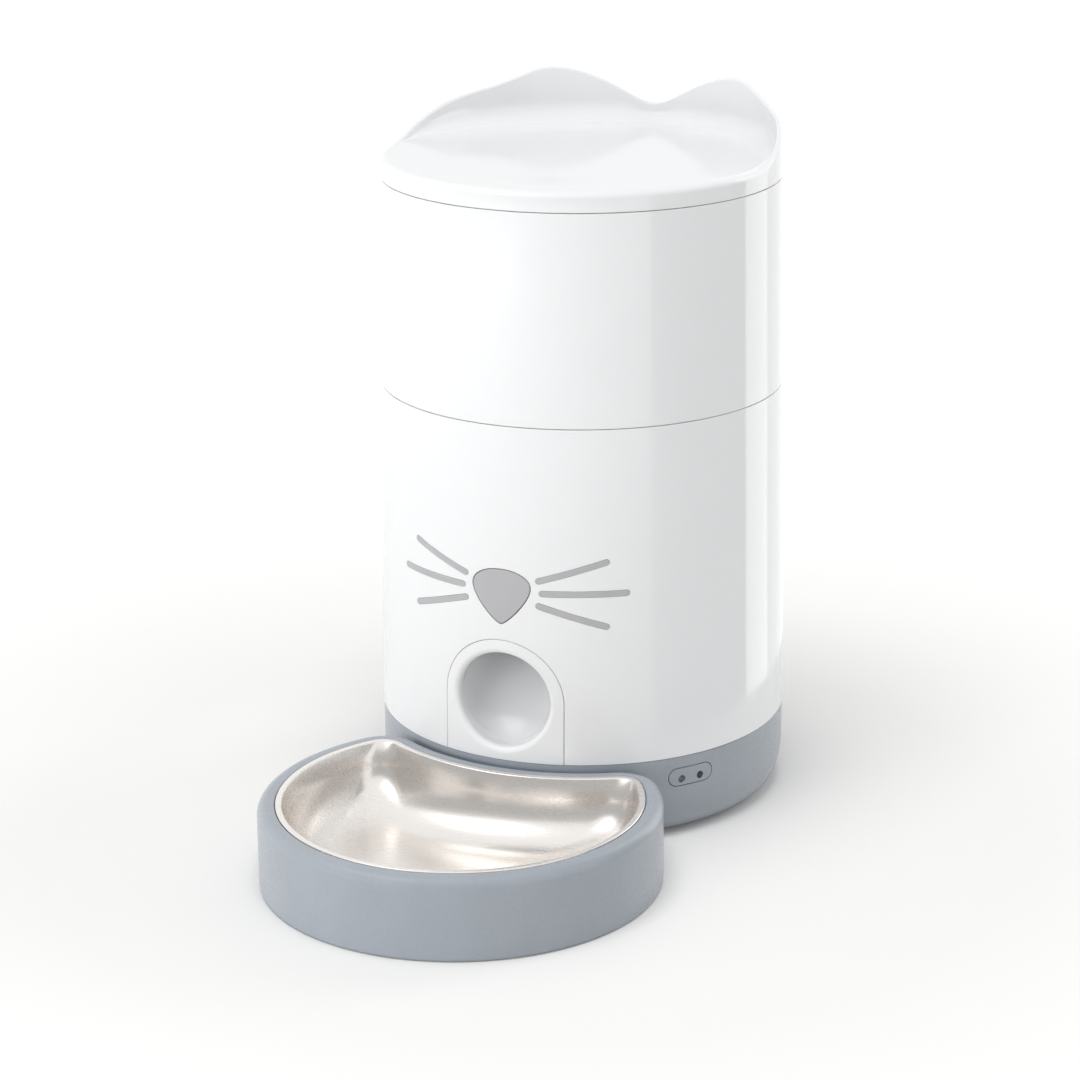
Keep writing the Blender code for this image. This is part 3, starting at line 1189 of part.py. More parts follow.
def make_main_board():
    top_z = BOARD_Z + BOARD_THICK
    board = block("main_board", (-BOARD_HALF_WIDTH, BOARD_FRONT_Y, BOARD_Z),
                  (BOARD_HALF_WIDTH, BOARD_REAR_Y, top_z), "circuit_board")
    radio = block("radio", (-RADIO_HALF_WIDTH, BOARD_FRONT_Y + BOARD_THICK, BOARD_Z + BOARD_THICK / 2),
                  (RADIO_HALF_WIDTH, BOARD_FRONT_Y + BOARD_THICK + RADIO_LENGTH, top_z + RADIO_HEIGHT))
    socket = block("socket", (-SOCKET_HALF_WIDTH, BOARD_REAR_Y - SOCKET_LENGTH, BOARD_Z + BOARD_THICK / 2),
                   (SOCKET_HALF_WIDTH, BOARD_REAR_Y - BOARD_THICK, top_z + SOCKET_LENGTH))
    spot = (BOARD_HALF_WIDTH - BOARD_POST_IN, (BOARD_FRONT_Y + BOARD_REAR_Y) / 2)
    capacitor = rod("capacitor", CAPACITOR_R, BOARD_Z + BOARD_THICK / 2, top_z + CAPACITOR_HEIGHT,
                    centre=spot, segments=SCREW_SEGMENTS)
    return join(board, radio, socket, capacitor)


def make_power_inlet():
    rear = wall_frame(math.pi)
    face = BASE_TOP_R - WALL - 3 * FIT
    half = INLET_BODY_HALF
    body = rectangle(-half, half, INLET_Z - half, INLET_Z + half)
    inlet = extruded("power_inlet", body, face - INLET_BODY_DEPTH, face, "dark_plastic", rear)
    mouth = BASE_TOP_R - INLET_SUNK
    collar = ring(INLET_R, ROD_SEGMENTS, (0.0, INLET_Z))
    join(inlet, extruded("collar", collar, face - OVERRUN, mouth, frame=rear))
    socket = ring(INLET_SOCKET_R, ROD_SEGMENTS, (0.0, INLET_Z))
    return cut(inlet, extruded("socket", socket, mouth - INLET_SOCKET_DEPTH, mouth + OVERRUN, frame=rear))


def make_status_window():
    """The pill-shaped window in the base's wall, its two round lenses and the board behind."""
    frame = wall_frame(STATUS_ANGLE)
    low_r = BASE_FOOT_R + BASE_ROUND_WIDTH
    low_z = BASE_BOTTOM_Z + BASE_ROUND_HEIGHT
    high_z = BASE_SEAM_Z - SEAM / 2
    panel = turned("status_panel", [
        (low_r, low_z), (BASE_TOP_R, high_z), (BASE_TOP_R - WALL, high_z), (low_r - WALL, low_z),
    ], SHELL_SEGMENTS, "blue_grey_plastic")
    keep_inside(panel, wall_cutter("pill", pill(STATUS_WIDTH, STATUS_HEIGHT, (0.0, STATUS_Z)), STATUS_ANGLE))
    dot_z = STATUS_Z - STATUS_DOT_DROP
    pieces = [panel]
    lenses = (("status_light_lens", -1, "clear_lens"), ("status_sensor_lens", 1, "dark_plastic"))
    for name, side, finish in lenses:
        centre = (side * STATUS_DOT_OUT, dot_z)
        cut(panel, wall_cutter("dot", ring(STATUS_DOT_R + FIT, SCREW_SEGMENTS, centre), STATUS_ANGLE))
        face = low_r - FIT
        dot = ring(STATUS_DOT_R, SCREW_SEGMENTS, centre)
        pieces.append(extruded(name, dot, face - STATUS_DOT_LENGTH, face, finish, frame))
    board_outline = rectangle(-STATUS_BOARD_HALF_WIDTH, STATUS_BOARD_HALF_WIDTH,
                              STATUS_Z - STATUS_BOARD_HALF_HEIGHT, STATUS_Z + STATUS_BOARD_HALF_HEIGHT)
    board_face = BASE_TOP_R - WALL - STATUS_BOARD_GAP
    pieces.append(extruded("status_board", board_outline, board_face - BOARD_THICK, board_face,
                           "circuit_board", frame))
    return pieces


# Bowl

def crescent_loft(name, rows, finish):
    """Skin the bowl's outline at rows of (inset, z)."""
    rings = [[(x, y, z) for x, y in crescent(inset)] for inset, z in rows]
    return loft(name, rings, finish)


def make_bowl_holder():
    """A two-skinned tray: outer skin, rounded rim with a ledge, and the tub that holds the steel bowl."""
    ledge_z = BOWL_RIM_Z - BOWL_LEDGE_DROP
    tub_in = BOWL_RIM_WIDTH + BOWL_LEDGE
    tub_out = tub_in - BOWL_SKIN
    floor_low_z = BOWL_FLOOR_GAP
    floor_high_z = BOWL_FLOOR_GAP + BOWL_FLOOR
    rows = [
        (tub_out + 2 * BOWL_FLOOR, floor_low_z), (tub_out, floor_low_z + 2 * BOWL_FLOOR),
        (tub_out, ledge_z - BOWL_SKIN), (BOWL_SKIN, ledge_z - 2 * BOWL_SKIN), (BOWL_SKIN, 0.0),
        (BOWL_FOOT_ROUND / 2, 0.0), (BOWL_FOOT_ROUND / 8, BOWL_FOOT_ROUND / 3), (0.0, BOWL_FOOT_ROUND),
    ]
    for step in range(4):
        angle = math.pi / 6 * step
        rows.append((BOWL_ROUND * (1 - math.cos(angle)), BOWL_RIM_Z - BOWL_ROUND * (1 - math.sin(angle))))
    rows += [
        (BOWL_RIM_WIDTH, BOWL_RIM_Z), (BOWL_RIM_WIDTH, ledge_z), (tub_in, ledge_z),
        (tub_in, floor_high_z + BOWL_FLOOR), (tub_in + BOWL_FLOOR, floor_high_z),
    ]
    holder = crescent_loft("bowl_holder", rows, "blue_grey_plastic")
    tongue_root = -BOWL_BACK_R - BOWL_SKIN / 3
    return join(holder, block("tongue", (-TONGUE_HALF_WIDTH, tongue_root, TONGUE_LOW_Z),
                              (TONGUE_HALF_WIDTH, -TONGUE_REACH_Y, TONGUE_HIGH_Z)))


def make_bowl_insert():
    lip_in = BOWL_RIM_WIDTH + FIT + LIP_WIDTH
    lip_low_z = BOWL_RIM_Z - BOWL_LEDGE_DROP + FIT
    lip_high_z = BOWL_RIM_Z + LIP_PROUD
    fillet_in = lip_in + INSERT_SLOPE + INSERT_FILLET
    fillet_z = INSERT_FLOOR_Z + INSERT_FILLET

    def floor_curve(offset):
        curve = []
        for step in range(4):
            angle = math.pi / 6 * step
            radius = INSERT_FILLET + offset
            curve.append((fillet_in - radius * math.sin(angle), fillet_z - radius * math.cos(angle)))
        return curve

    rows = floor_curve(STEEL) + [
        (lip_in - STEEL, lip_low_z), (lip_in - LIP_WIDTH, lip_low_z),
        (lip_in - LIP_WIDTH, lip_high_z - STEEL / 3), (lip_in - LIP_WIDTH + STEEL / 3, lip_high_z),
        (lip_in - STEEL / 3, lip_high_z),
        (lip_in, lip_high_z - STEEL / 3),
    ] + floor_curve(0.0)[::-1]
    return crescent_loft("bowl_insert", rows, "steel")


# Assembly

def axis_empty(name, place=(0.0, 0.0, 0.0), parent=None):
    empty = bpy.data.objects.new(name, None)
    bpy.context.collection.objects.link(empty)
    empty.location = place
    empty.parent = parent
    return empty


def carry(empty, *pieces):
    """Hang pieces on an empty without moving them."""
    bpy.context.view_layer.update()
    for piece in pieces:
        piece.parent = empty
        piece.matrix_parent_inverse = empty.matrix_world.inverted()


def shade(piece):
    piece.data.shade_smooth()
    piece.data.set_sharp_from_angle(angle=math.radians(32))


def build_feeder():
    feeder = axis_empty("feeder")
    tower_pieces = [make_base_shell(), make_body_shell(), make_bottom_plate(), make_deck(), make_duct()]
    tower_pieces += make_base_fittings() + make_battery() + make_gearbox() + [make_motor()]
    tower_pieces += [make_whiskers("whiskers_left", -1), make_whiskers("whiskers_right", 1)]
    tower_pieces += make_button_board() + [make_main_board(), make_power_inlet()] + make_status_window()
    carry(feeder, *tower_pieces)

    container_axis = axis_empty("container_axis", (0.0, 0.0, MID_SEAM_Z), feeder)
    carry(container_axis, make_container(), *make_dosing_unit())
    rotor_axis = axis_empty("rotor_axis", parent=container_axis)
    carry(rotor_axis, *make_rotor())
    lid_axis = axis_empty("lid_axis", (0.0, 0.0, LID_SEAM_Z - MID_SEAM_Z), container_axis)
    lid_pieces, drying_cover = make_lid_inside()
    carry(lid_axis, make_lid_shell(), *lid_pieces)
    carry(axis_empty("drying_cover_axis", parent=lid_axis), drying_cover)

    drive_axis = axis_empty("drive_axis", (0.0, 0.0, GEAR_Z), feeder)
    drive_gear = make_gear("drive_gear", DRIVE_TEETH, math.pi / 2, OUTPUT_R + FIT, 0.0)
    carry(drive_axis, drive_gear, make_output_shaft())
    pinion_axis = axis_empty("pinion_axis", (0.0, GEAR_SPACING, GEAR_Z), feeder)
    gap_to_front = -math.pi / 2 + math.pi / PINION_TEETH
    pinion = make_gear("motor_pinion", PINION_TEETH, gap_to_front, MOTOR_SHAFT_R + FIT, GEAR_SPACING)
    carry(pinion_axis, pinion)

    carry(axis_empty("nose_axis", (0.0, -wall_radius(NOSE_Z), NOSE_Z), feeder), make_nose_button())
    carry(axis_empty("chute_axis", (0.0, -wall_radius(MOUTH_Z), MOUTH_Z), feeder), make_chute())
    bowl_axis = axis_empty("bowl_axis", (0.0, -BOWL_FORWARD, 0.0), feeder)
    carry(bowl_axis, make_bowl_holder())
    carry(axis_empty("insert_axis", (0.0, 0.0, BOWL_RIM_Z), bowl_axis), make_bowl_insert())

    for piece in bpy.context.scene.objects:
        if piece.type == "MESH":
            shade(piece)
    feeder.location = (0.0, BODY_Y, 0.0)


clear_scene()
MATERIALS = {name: make_material(name) for name in FINISHES}
build_feeder()
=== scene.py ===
"""The looks of a smart pet feeder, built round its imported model.

Lengths are in metres. Places on the tower are told about its own axis, with the front towards -y.
"""
import json
from math import asin, atan2, ceil, cos, degrees, hypot, pi, radians, remainder, sin, sqrt, tan, tau

import bmesh
import bpy
import numpy as np
from mathutils import Matrix, Vector
from mathutils.geometry import delaunay_2d_cdt

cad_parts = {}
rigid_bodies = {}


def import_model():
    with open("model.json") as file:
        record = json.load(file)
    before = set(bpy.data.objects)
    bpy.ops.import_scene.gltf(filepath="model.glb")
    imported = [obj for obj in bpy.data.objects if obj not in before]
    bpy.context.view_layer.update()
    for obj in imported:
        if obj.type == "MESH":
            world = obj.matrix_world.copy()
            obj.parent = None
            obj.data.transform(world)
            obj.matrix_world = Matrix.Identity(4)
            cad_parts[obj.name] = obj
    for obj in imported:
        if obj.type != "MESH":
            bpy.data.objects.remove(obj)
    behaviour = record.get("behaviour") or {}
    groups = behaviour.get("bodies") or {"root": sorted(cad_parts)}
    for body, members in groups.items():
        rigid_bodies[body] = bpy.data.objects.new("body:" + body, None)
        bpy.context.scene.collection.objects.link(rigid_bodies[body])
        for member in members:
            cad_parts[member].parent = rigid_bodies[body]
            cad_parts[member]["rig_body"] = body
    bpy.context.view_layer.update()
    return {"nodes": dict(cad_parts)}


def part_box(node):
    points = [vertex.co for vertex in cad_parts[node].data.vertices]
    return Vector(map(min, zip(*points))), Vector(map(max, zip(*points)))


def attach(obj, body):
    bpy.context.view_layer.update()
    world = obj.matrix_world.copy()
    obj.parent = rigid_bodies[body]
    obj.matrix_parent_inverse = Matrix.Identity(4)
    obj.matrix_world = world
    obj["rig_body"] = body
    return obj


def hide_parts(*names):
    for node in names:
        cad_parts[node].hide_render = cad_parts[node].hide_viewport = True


for old in list(bpy.data.objects):
    bpy.data.objects.remove(old, do_unlink=True)
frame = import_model()

MM = 0.001

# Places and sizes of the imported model
LID_LOW, LID_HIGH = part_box("lid_shell")
CONTAINER_LOW, CONTAINER_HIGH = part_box("food_container")
BODY_LOW, BODY_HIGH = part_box("body_shell")
BASE_LOW, BASE_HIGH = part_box("base_shell")
TRAY_LOW, TRAY_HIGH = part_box("bowl_holder")
AXIS_Y = (CONTAINER_LOW.y + CONTAINER_HIGH.y) / 2
TOP_R = LID_HIGH.x
BODY_R = BODY_HIGH.x

# Walls and gaps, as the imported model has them
FIT = 0.3 * MM
WALL = 2.6 * MM
LID_WALL = 2.4 * MM
SPIGOT_LENGTH = 3.8 * MM
SPIGOT_WALL = 2.2 * MM
OVERRUN = 3 * MM

# Edges
SEAM_ROUND = 0.45 * MM  # rounding of the edges beside a seam
SEAM_GAP = 0.12 * MM
SUPPORT = 0.5 * MM  # row of corners beside a rounding, which keeps the flat next to it flat
WELD = 0.002 * MM
ON_WALL = 0.010 * MM  # corners this near the wall's cone lie on it

# Lid
LID_TOP_Z = 328.5 * MM
SHOULDER_WIDE = 4.6 * MM
SHOULDER_TALL = 3.6 * MM
RIM_SWELL = 0.5 * MM  # how far the lid's rim stands above its dished top
DISH_R = 78.0 * MM
EAR_LEAN = 1.6 * MM
EAR_WALL = 2.9 * MM
EAR_FOOT = 11.0 * MM
EAR_DRAFT = 0.3 * MM  # how far the ears' inner side leans outward from foot to crest
# Height of the ears' edge at degrees from the rear, as shares of their full height
EAR_SHARES = (
    (-3, 0.352), (0, 0.325), (3, 0.352), (6, 0.425), (10, 0.555), (15, 0.715), (20, 0.841), (25, 0.934),
    (30, 0.989), (33, 1.0), (37, 0.965), (43, 0.84), (50, 0.71), (56, 0.64), (62, 0.575), (68, 0.50),
    (75, 0.37), (83, 0.20), (90, 0.08), (96, 0.022), (102, 0.004), (108, 0.0), (180, 0.0),
)
EAR_FADE_SHARE = 0.22  # share of that height at which the rim has fully become an ear
FOOT_FADE_SHARE = 0.5  # and at which the ear's foot is fully wide
CREST_SHARE = 0.4  # most that the crest's inner rounding takes of the height there
FOOT_SHARE = 0.8  # and most that the foot takes of what is left
DISH_START_SHARE = 0.75  # where the dish begins to rise, as a share of its radius

# Container
LIP_DEPTH = 7.8 * MM
LIP_WALL = 2.0 * MM
FUNNEL_RISE = 8.3 * MM
CHAMBER_DROP = 14.2 * MM
CHAMBER_HEIGHT = 27.2 * MM
CHAMBER_R = 66.0 * MM
CHAMBER_WALL = 2.5 * MM

# Lower casing
LEDGE_Z = 162.8 * MM
LEDGE = 6.0 * MM
LEDGE_THICK = 2.8 * MM

# Face
NOSE_Z = 128.4 * MM
NOSE_WIDTH = 30.4 * MM
NOSE_HEIGHT = 27.6 * MM
NOSE_GAP = 0.35 * MM
NOSE_ROUND = 0.7 * MM
NOSE_FLANGE = 1.2 * MM
NOSE_FLANGE_THICK = 1.5 * MM
NOSE_STEM_R = 3.0 * MM
# Outline from the top centre to the tip, as shares of half the width and of the height
NOSE_SHARES = (
    (0.0, 0.475), (0.27, 0.465), (0.52, 0.435), (0.78, 0.365), (0.94, 0.28), (1.0, 0.17), (0.95, 0.04),
    (0.75, -0.15), (0.45, -0.345), (0.17, -0.48), (0.0, -0.525),
)
WHISKER_WIDTH = 3.1 * MM
WHISKER_GAP = 0.05 * MM
WHISKER_ROUND = 0.35 * MM
PLATE_ROUND = 0.25 * MM
# Way round the wall from the nose's side, and rise, of each bar's inner and outer end
WHISKERS = (
    (4.4 * MM, 8.9 * MM, 37.6 * MM, 19.0 * MM),
    (6.1 * MM, 2.6 * MM, 47.6 * MM, 3.0 * MM),
    (4.4 * MM, -3.8 * MM, 37.6 * MM, -13.8 * MM),
)
WHISKER_MIDDLE = 23.1 * MM
WHISKER_BACK_FROM = 6.0 * MM
WHISKER_BACK_TO = 34.8 * MM
WHISKER_BACK_MARGIN = 2.4 * MM
WHISKER_BACK_THICK = 1.2 * MM

# Chute
MOUTH_Z = 73.6 * MM
MOUTH_R = 24.3 * MM
MOUTH_ROUND = 3.2 * MM  # soft edge of the round mouth
ARCH_R = 31.6 * MM
DOORWAY_GAP = 0.2 * MM
CHUTE_WALL = 2.2 * MM
CHUTE_START = -1.5 * MM  # where the channel begins, measured backwards from its bend
CHUTE_RISE = 49.8 * MM
CHUTE_CURVE = 1.6  # 1 is a straight slope; more is steeper at the mouth
CHUTE_BEND_Y = 95.0 * MM
CHUTE_SOFT = 7.0 * MM  # how gently the channel turns upward
CHUTE_INSET = 1.0 * MM
CHUTE_CUT_Z = 98.2 * MM
CHUTE_CUT_Y = 66.8 * MM
CHUTE_RUN = CHUTE_BEND_Y - (AXIS_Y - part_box("chute")[1].y)
ROUND_POWER = 2.0  # power of the channel's outline at the mouth, where it is a circle
SQUARE_POWER = 5.0  # and at its rear, where it is nearly square
SQUARING = 0.7  # below 1, most of the change comes near the mouth

# Grey base
BASE_START = -pi * 0.6  # direction where its columns begin, clear of every opening
BASE_DRAFT = 0.2 * MM
BASE_ROUND_WIDTH = 9.5 * MM
BASE_ROUND_HEIGHT = 20.0 * MM
BASE_BOTTOM_Z = 2.0 * MM
BASE_FLOOR = 6.6 * MM
RIM_WIDTH = 6.3 * MM
SHELF_Z = 6.1 * MM
SHELF_WIDTH = 5.0 * MM
TONGUE_HALF_WIDTH = 18.0 * MM
TONGUE_REACH = 7.6 * MM
TONGUE_LOW_Z = 9.6 * MM
TONGUE_HIGH_Z = 13.8 * MM
TONGUE_CHAMFER = 2.0 * MM
INLET_Z = 30.0 * MM
INLET_R = 5.5 * MM

# Status window
STATUS_ANGLE = radians(54.1)
STATUS_Z = 31.8 * MM
STATUS_WIDTH = 25.4 * MM
STATUS_HEIGHT = 9.3 * MM
STATUS_GAP = 0.25 * MM
STATUS_ROUND = 0.5 * MM
DOT_R = 1.6 * MM
DOT_GAP = 0.3 * MM
DOT_OUT = 5.4 * MM
DOT_DROP = 1.2 * MM
DOT_LENGTH = 2.0 * MM
DOT_CROWN = 0.35 * MM

# Bowl
BOWL_R = 98.0 * MM
BOWL_GAP = 1.04 * MM
BOWL_REACH = 46.7 * MM
BOWL_CORNER_R = 20.0 * MM
BOWL_LEAST_CORNER_R = BOWL_CORNER_R / 6
BOWL_ROUND = 5.0 * MM
BOWL_FOOT_ROUND = 2.0 * MM
BOWL_RIM_WIDTH = 8.45 * MM
BOWL_LEDGE = 1.9 * MM
BOWL_LEDGE_DROP = 1.5 * MM
BOWL_SKIN = 2.5 * MM
BOWL_FLOOR = 2.5 * MM
BOWL_FLOOR_GAP = 1.0 * MM
RIM_EDGE = 0.6 * MM
STEEL = 1.0 * MM
LIP_WIDTH = 3.0 * MM
LIP_PROUD = 0.3 * MM
INSERT_FLOOR_Z = 9.0 * MM
INSERT_SLOPE = 2.5 * MM
INSERT_FILLET = 25.0 * MM
CORNER_SOFTENING = 0.55  # how much larger the steel bowl's corners get for each step inward
LIP_SOFTENING = 4.5 * MM  # how much larger they are just below the lip

# Fineness of the meshes
RING_COLUMNS = 240
TURNED_COLUMNS = 256
MOUTH_COLUMNS = 96
LID_COLUMNS = 360
ROUND_STEPS = 6
DISH_STEPS = 24
FOOT_STEPS = 12
EAR_STEPS = 8
LENS_STEPS = 8
LIP_STEPS = 8
CREST_STEPS = 10
NOSE_STEPS = 4
ARCH_STEPS = 60
MOUTH_STEPS = 10
CHANNEL_STEPS = 30
CHANNEL_CROWDING = 1.4  # above 1, the channel's slices lie closer near the mouth
SEARCH_STEPS = 30
ROD_COLUMNS = 24
DOT_COLUMNS = 32
INLET_COLUMNS = 48
BASE_STEPS = 16
BOWL_STEPS = 12
BOWL_FRONT_STEPS = 150
BOWL_CORNER_STEPS = 18
BOWL_BACK_STEPS = 70
GRID = 5.0 * MM
FINE_GRID = 2.0 * MM
GRID_MARGIN_SHARE = 0.55  # a grid's points keep this share of its step from the outlines
EDGE_STEP = 1.2 * MM
SLIVER = 0.03 * MM  # edges this short are merged after a cut
SHARP_ANGLE = radians(35)
TINY_SHARE = 1e-6
TINY_ANGLE = 1e-4
FACING = 0.8  # faces whose normals agree with the wall's by this cosine take the wall's


# Outlines, as lists of (u, v)

def arc(radius, start, end, count, centre=(0.0, 0.0)):
    points = []
    for step in range(count + 1):
        angle = start + (end - start) * step / count
        points.append((centre[0] + radius * cos(angle), centre[1] + radius * sin(angle)))
    return points


def circle(radius, count, centre=(0.0, 0.0), start=0.0):
    """A full turn, clockwise where it starts at a full turn."""
    return arc(radius, start, tau - start, count, centre)[:-1]


def quarter(steps, first=0):
    """Angles that divide a quarter turn evenly."""
    return [pi / 2 * step / steps for step in range(first, steps + 1)]


def divided(loop, step, closed=True):
    """The loop with its long stretches divided."""
    ends = loop[1:] + loop[:1] if closed else loop[1:]
    points = []
    for (u, v), (next_u, next_v) in zip(loop, ends):
        count = max(1, ceil(hypot(next_u - u, next_v - v) / step - TINY_SHARE))
        for index in range(count):
            share = index / count
            points.append((u + (next_u - u) * share, v + (next_v - v) * share))
    return points if closed else points + loop[-1:]


def smooth(points, count):
    """A closed curve through the points, with a number of steps between each two."""
    curve = []
    total = len(points)
    for index in range(total):
        before, start, end, after = (Vector(points[(index + k) % total]) for k in (-1, 0, 1, 2))
        for step in range(count):
            t = step / count
            bend = (2 * before - 5 * start + 4 * end - after) * t
            bend += (3 * start - before - 3 * end + after) * t * t
            curve.append(tuple(start + ((end - before) + bend) * (t / 2)))
    return curve


def area(loop):
    """The area inside a closed loop, below zero if it runs clockwise."""
    return sum(u * next_v - next_u * v for (u, v), (next_u, next_v) in zip(loop, loop[1:] + loop[:1])) / 2


def moved_in(loop, margin, closed=True):
    """The loop moved into the material, which lies on its left."""
    moved = []
    last = len(loop) - 1
    for index, here in enumerate(loop):
        before = loop[index - 1] if closed or index > 0 else None
        after = loop[(index + 1) % len(loop)] if closed or index < last else None
        sides = []
        for start, end in ((before, here), (here, after)):
            if start and end:
                along = (Vector(end) - Vector(start)).normalized()
                sides.append(Vector((-along.y, along.x)))
        turn = sum(sides, Vector((0.0, 0.0)))
        turn *= margin / (1 + sides[0].dot(sides[-1])) if len(sides) == 2 else margin
        moved.append((here[0] + turn.x, here[1] + turn.y))
    return moved


def rounded(points, radii, steps=ROUND_STEPS, support=SUPPORT):
    """An open profile whose inner corners are rounded, with a support point on each side of a rounding."""
    profile = [points[0]]
    for before, here, after, radius in zip(points, points[1:], points[2:], radii):
        if radius == 0:
            profile.append(here)
            continue
        corner = Vector(here)
        back = Vector(before) - corner
        ahead = Vector(after) - corner
        room = min(back.length, ahead.length)
        back.normalize()
        ahead.normalize()
        half = back.angle(ahead) / 2
        reach = radius / tan(half)
        middle = corner + (back + ahead).normalized() * radius / sin(half)
        start = corner + back * reach - middle
        end = corner + ahead * reach - middle
        if reach + support < room / 2:
            profile.append(tuple(corner + back * (reach + support)))
        for step in range(steps + 1):
            share = step / steps
            swing = start.slerp(end, share) if start.angle(end) > TINY_ANGLE else start
            profile.append(tuple(middle + swing.normalized() * radius))
        if reach + support < room / 2:
            profile.append(tuple(corner + ahead * (reach + support)))
    return profile + [points[-1]]


def pill(width, height, centre, steps=10):
    """A bar with round ends, anticlockwise."""
    half = (width - height) / 2
    quarter = pi / 2
    right = arc(height / 2, -quarter, quarter, steps, (centre[0] + half, centre[1]))
    left = arc(height / 2, quarter, 3 * quarter, steps, (centre[0] - half, centre[1]))
    return right + left


def bar(start, end, width, steps=8):
    """A straight bar with round ends between two points, anticlockwise."""
    along = atan2(end[1] - start[1], end[0] - start[0])
    quarter = pi / 2
    far_end = arc(width / 2, along - quarter, along + quarter, steps, end)
    near_end = arc(width / 2, along + quarter, along + 3 * quarter, steps, start)
    return far_end + near_end


# Meshes

def in_scene(name, data):
    item = bpy.data.objects.new(name, data)
    bpy.context.collection.objects.link(item)
    return item


class Skin:
    """Faces collected corner by corner, then welded into one mesh."""

    def __init__(self):
        self.points = []
        self.faces = []

    def face(self, *corners):
        first = len(self.points)
        self.points.extend(corners)
        self.faces.append(tuple(range(first, first + len(corners))))

    def grid(self, rows, closed=False):
        """Quads between rows of equally many points; a row of one point is a tip."""
        starts = []
        for row in rows:
            starts.append(len(self.points))
            self.points.extend(row)
        for (low, low_row), (high, high_row) in zip(zip(starts, rows), zip(starts[1:], rows[1:])):
            count = max(len(low_row), len(high_row))
            for index in range(count if closed else count - 1):
                after = (index + 1) % count
                if len(low_row) == 1:
                    self.faces.append((low, high + after, high + index))
                elif len(high_row) == 1:
                    self.faces.append((low + index, low + after, high))
                else:
                    self.faces.append((low + index, low + after, high + after, high + index))

    def solid(self, rows):
        """A closed grid with a face at each end."""
        self.grid(rows, closed=True)
        self.face(*rows[0])
        self.face(*rows[-1])

    def piece(self, name):
        mesh = bpy.data.meshes.new(name)
        mesh.from_pydata(self.points, [], self.faces)
        shape = bmesh.new()
        shape.from_mesh(mesh)
        bmesh.ops.remove_doubles(shape, verts=shape.verts, dist=WELD)
        bmesh.ops.dissolve_degenerate(shape, edges=shape.edges, dist=WELD)
        bmesh.ops.recalc_face_normals(shape, faces=shape.faces)
        shape.to_mesh(mesh)
        shape.free()
        mesh.shade_smooth()
        mesh.set_sharp_from_angle(angle=SHARP_ANGLE)
        return in_scene(name, mesh)


def around(radius, angle, z):
    """A place round the tower's axis, at an angle from the front."""
    return (radius * sin(angle), AXIS_Y - radius * cos(angle), z)


def round_row(radius, z, columns, first=0.0):
    return [around(radius, first + tau * index / columns, z) for index in range(columns)]


def turned(name, profile, columns=TURNED_COLUMNS):
    """Turn a closed profile of (radius, z) about the tower's axis."""
    skin = Skin()
    skin.grid([round_row(radius, z, columns) for radius, z in profile + profile[:1]], closed=True)
    return skin.piece(name)


def cut(piece, tool):
    """Cut away another solid, which is used up."""
    modifier = piece.modifiers.new("cut", "BOOLEAN")
    modifier.operation = "DIFFERENCE"
    modifier.object = tool
    bpy.context.view_layer.update()
    result = piece.evaluated_get(bpy.context.evaluated_depsgraph_get())
    mesh = bpy.data.meshes.new_from_object(result)
    piece.modifiers.clear()
    piece.data = mesh
    bpy.data.objects.remove(tool, do_unlink=True)
    mesh.shade_smooth()
    mesh.set_sharp_from_angle(angle=SHARP_ANGLE)
    return piece


def clean_cut(mesh):
    """Merge the tiny edges that a cut leaves and split faces of many sides, so that none folds flat."""
    shape = bmesh.new()
    shape.from_mesh(mesh)
    bmesh.ops.remove_doubles(shape, verts=shape.verts[:], dist=SLIVER)
    bmesh.ops.dissolve_degenerate(shape, dist=SLIVER, edges=shape.edges[:])
    many_sided = [face for face in shape.faces if len(face.verts) > 4]
    bmesh.ops.triangulate(shape, faces=many_sided, ngon_method="BEAUTY")
    shape.to_mesh(mesh)
    shape.free()


def block(lows, highs):
    """A plain cutter between two corners."""
    (x0, y0, z0), (x1, y1, z1) = lows, highs
    skin = Skin()
    skin.solid([[(x0, y0, z), (x1, y0, z), (x1, y1, z), (x0, y1, z)] for z in (z0, z1)])
    return skin.piece("cutter")


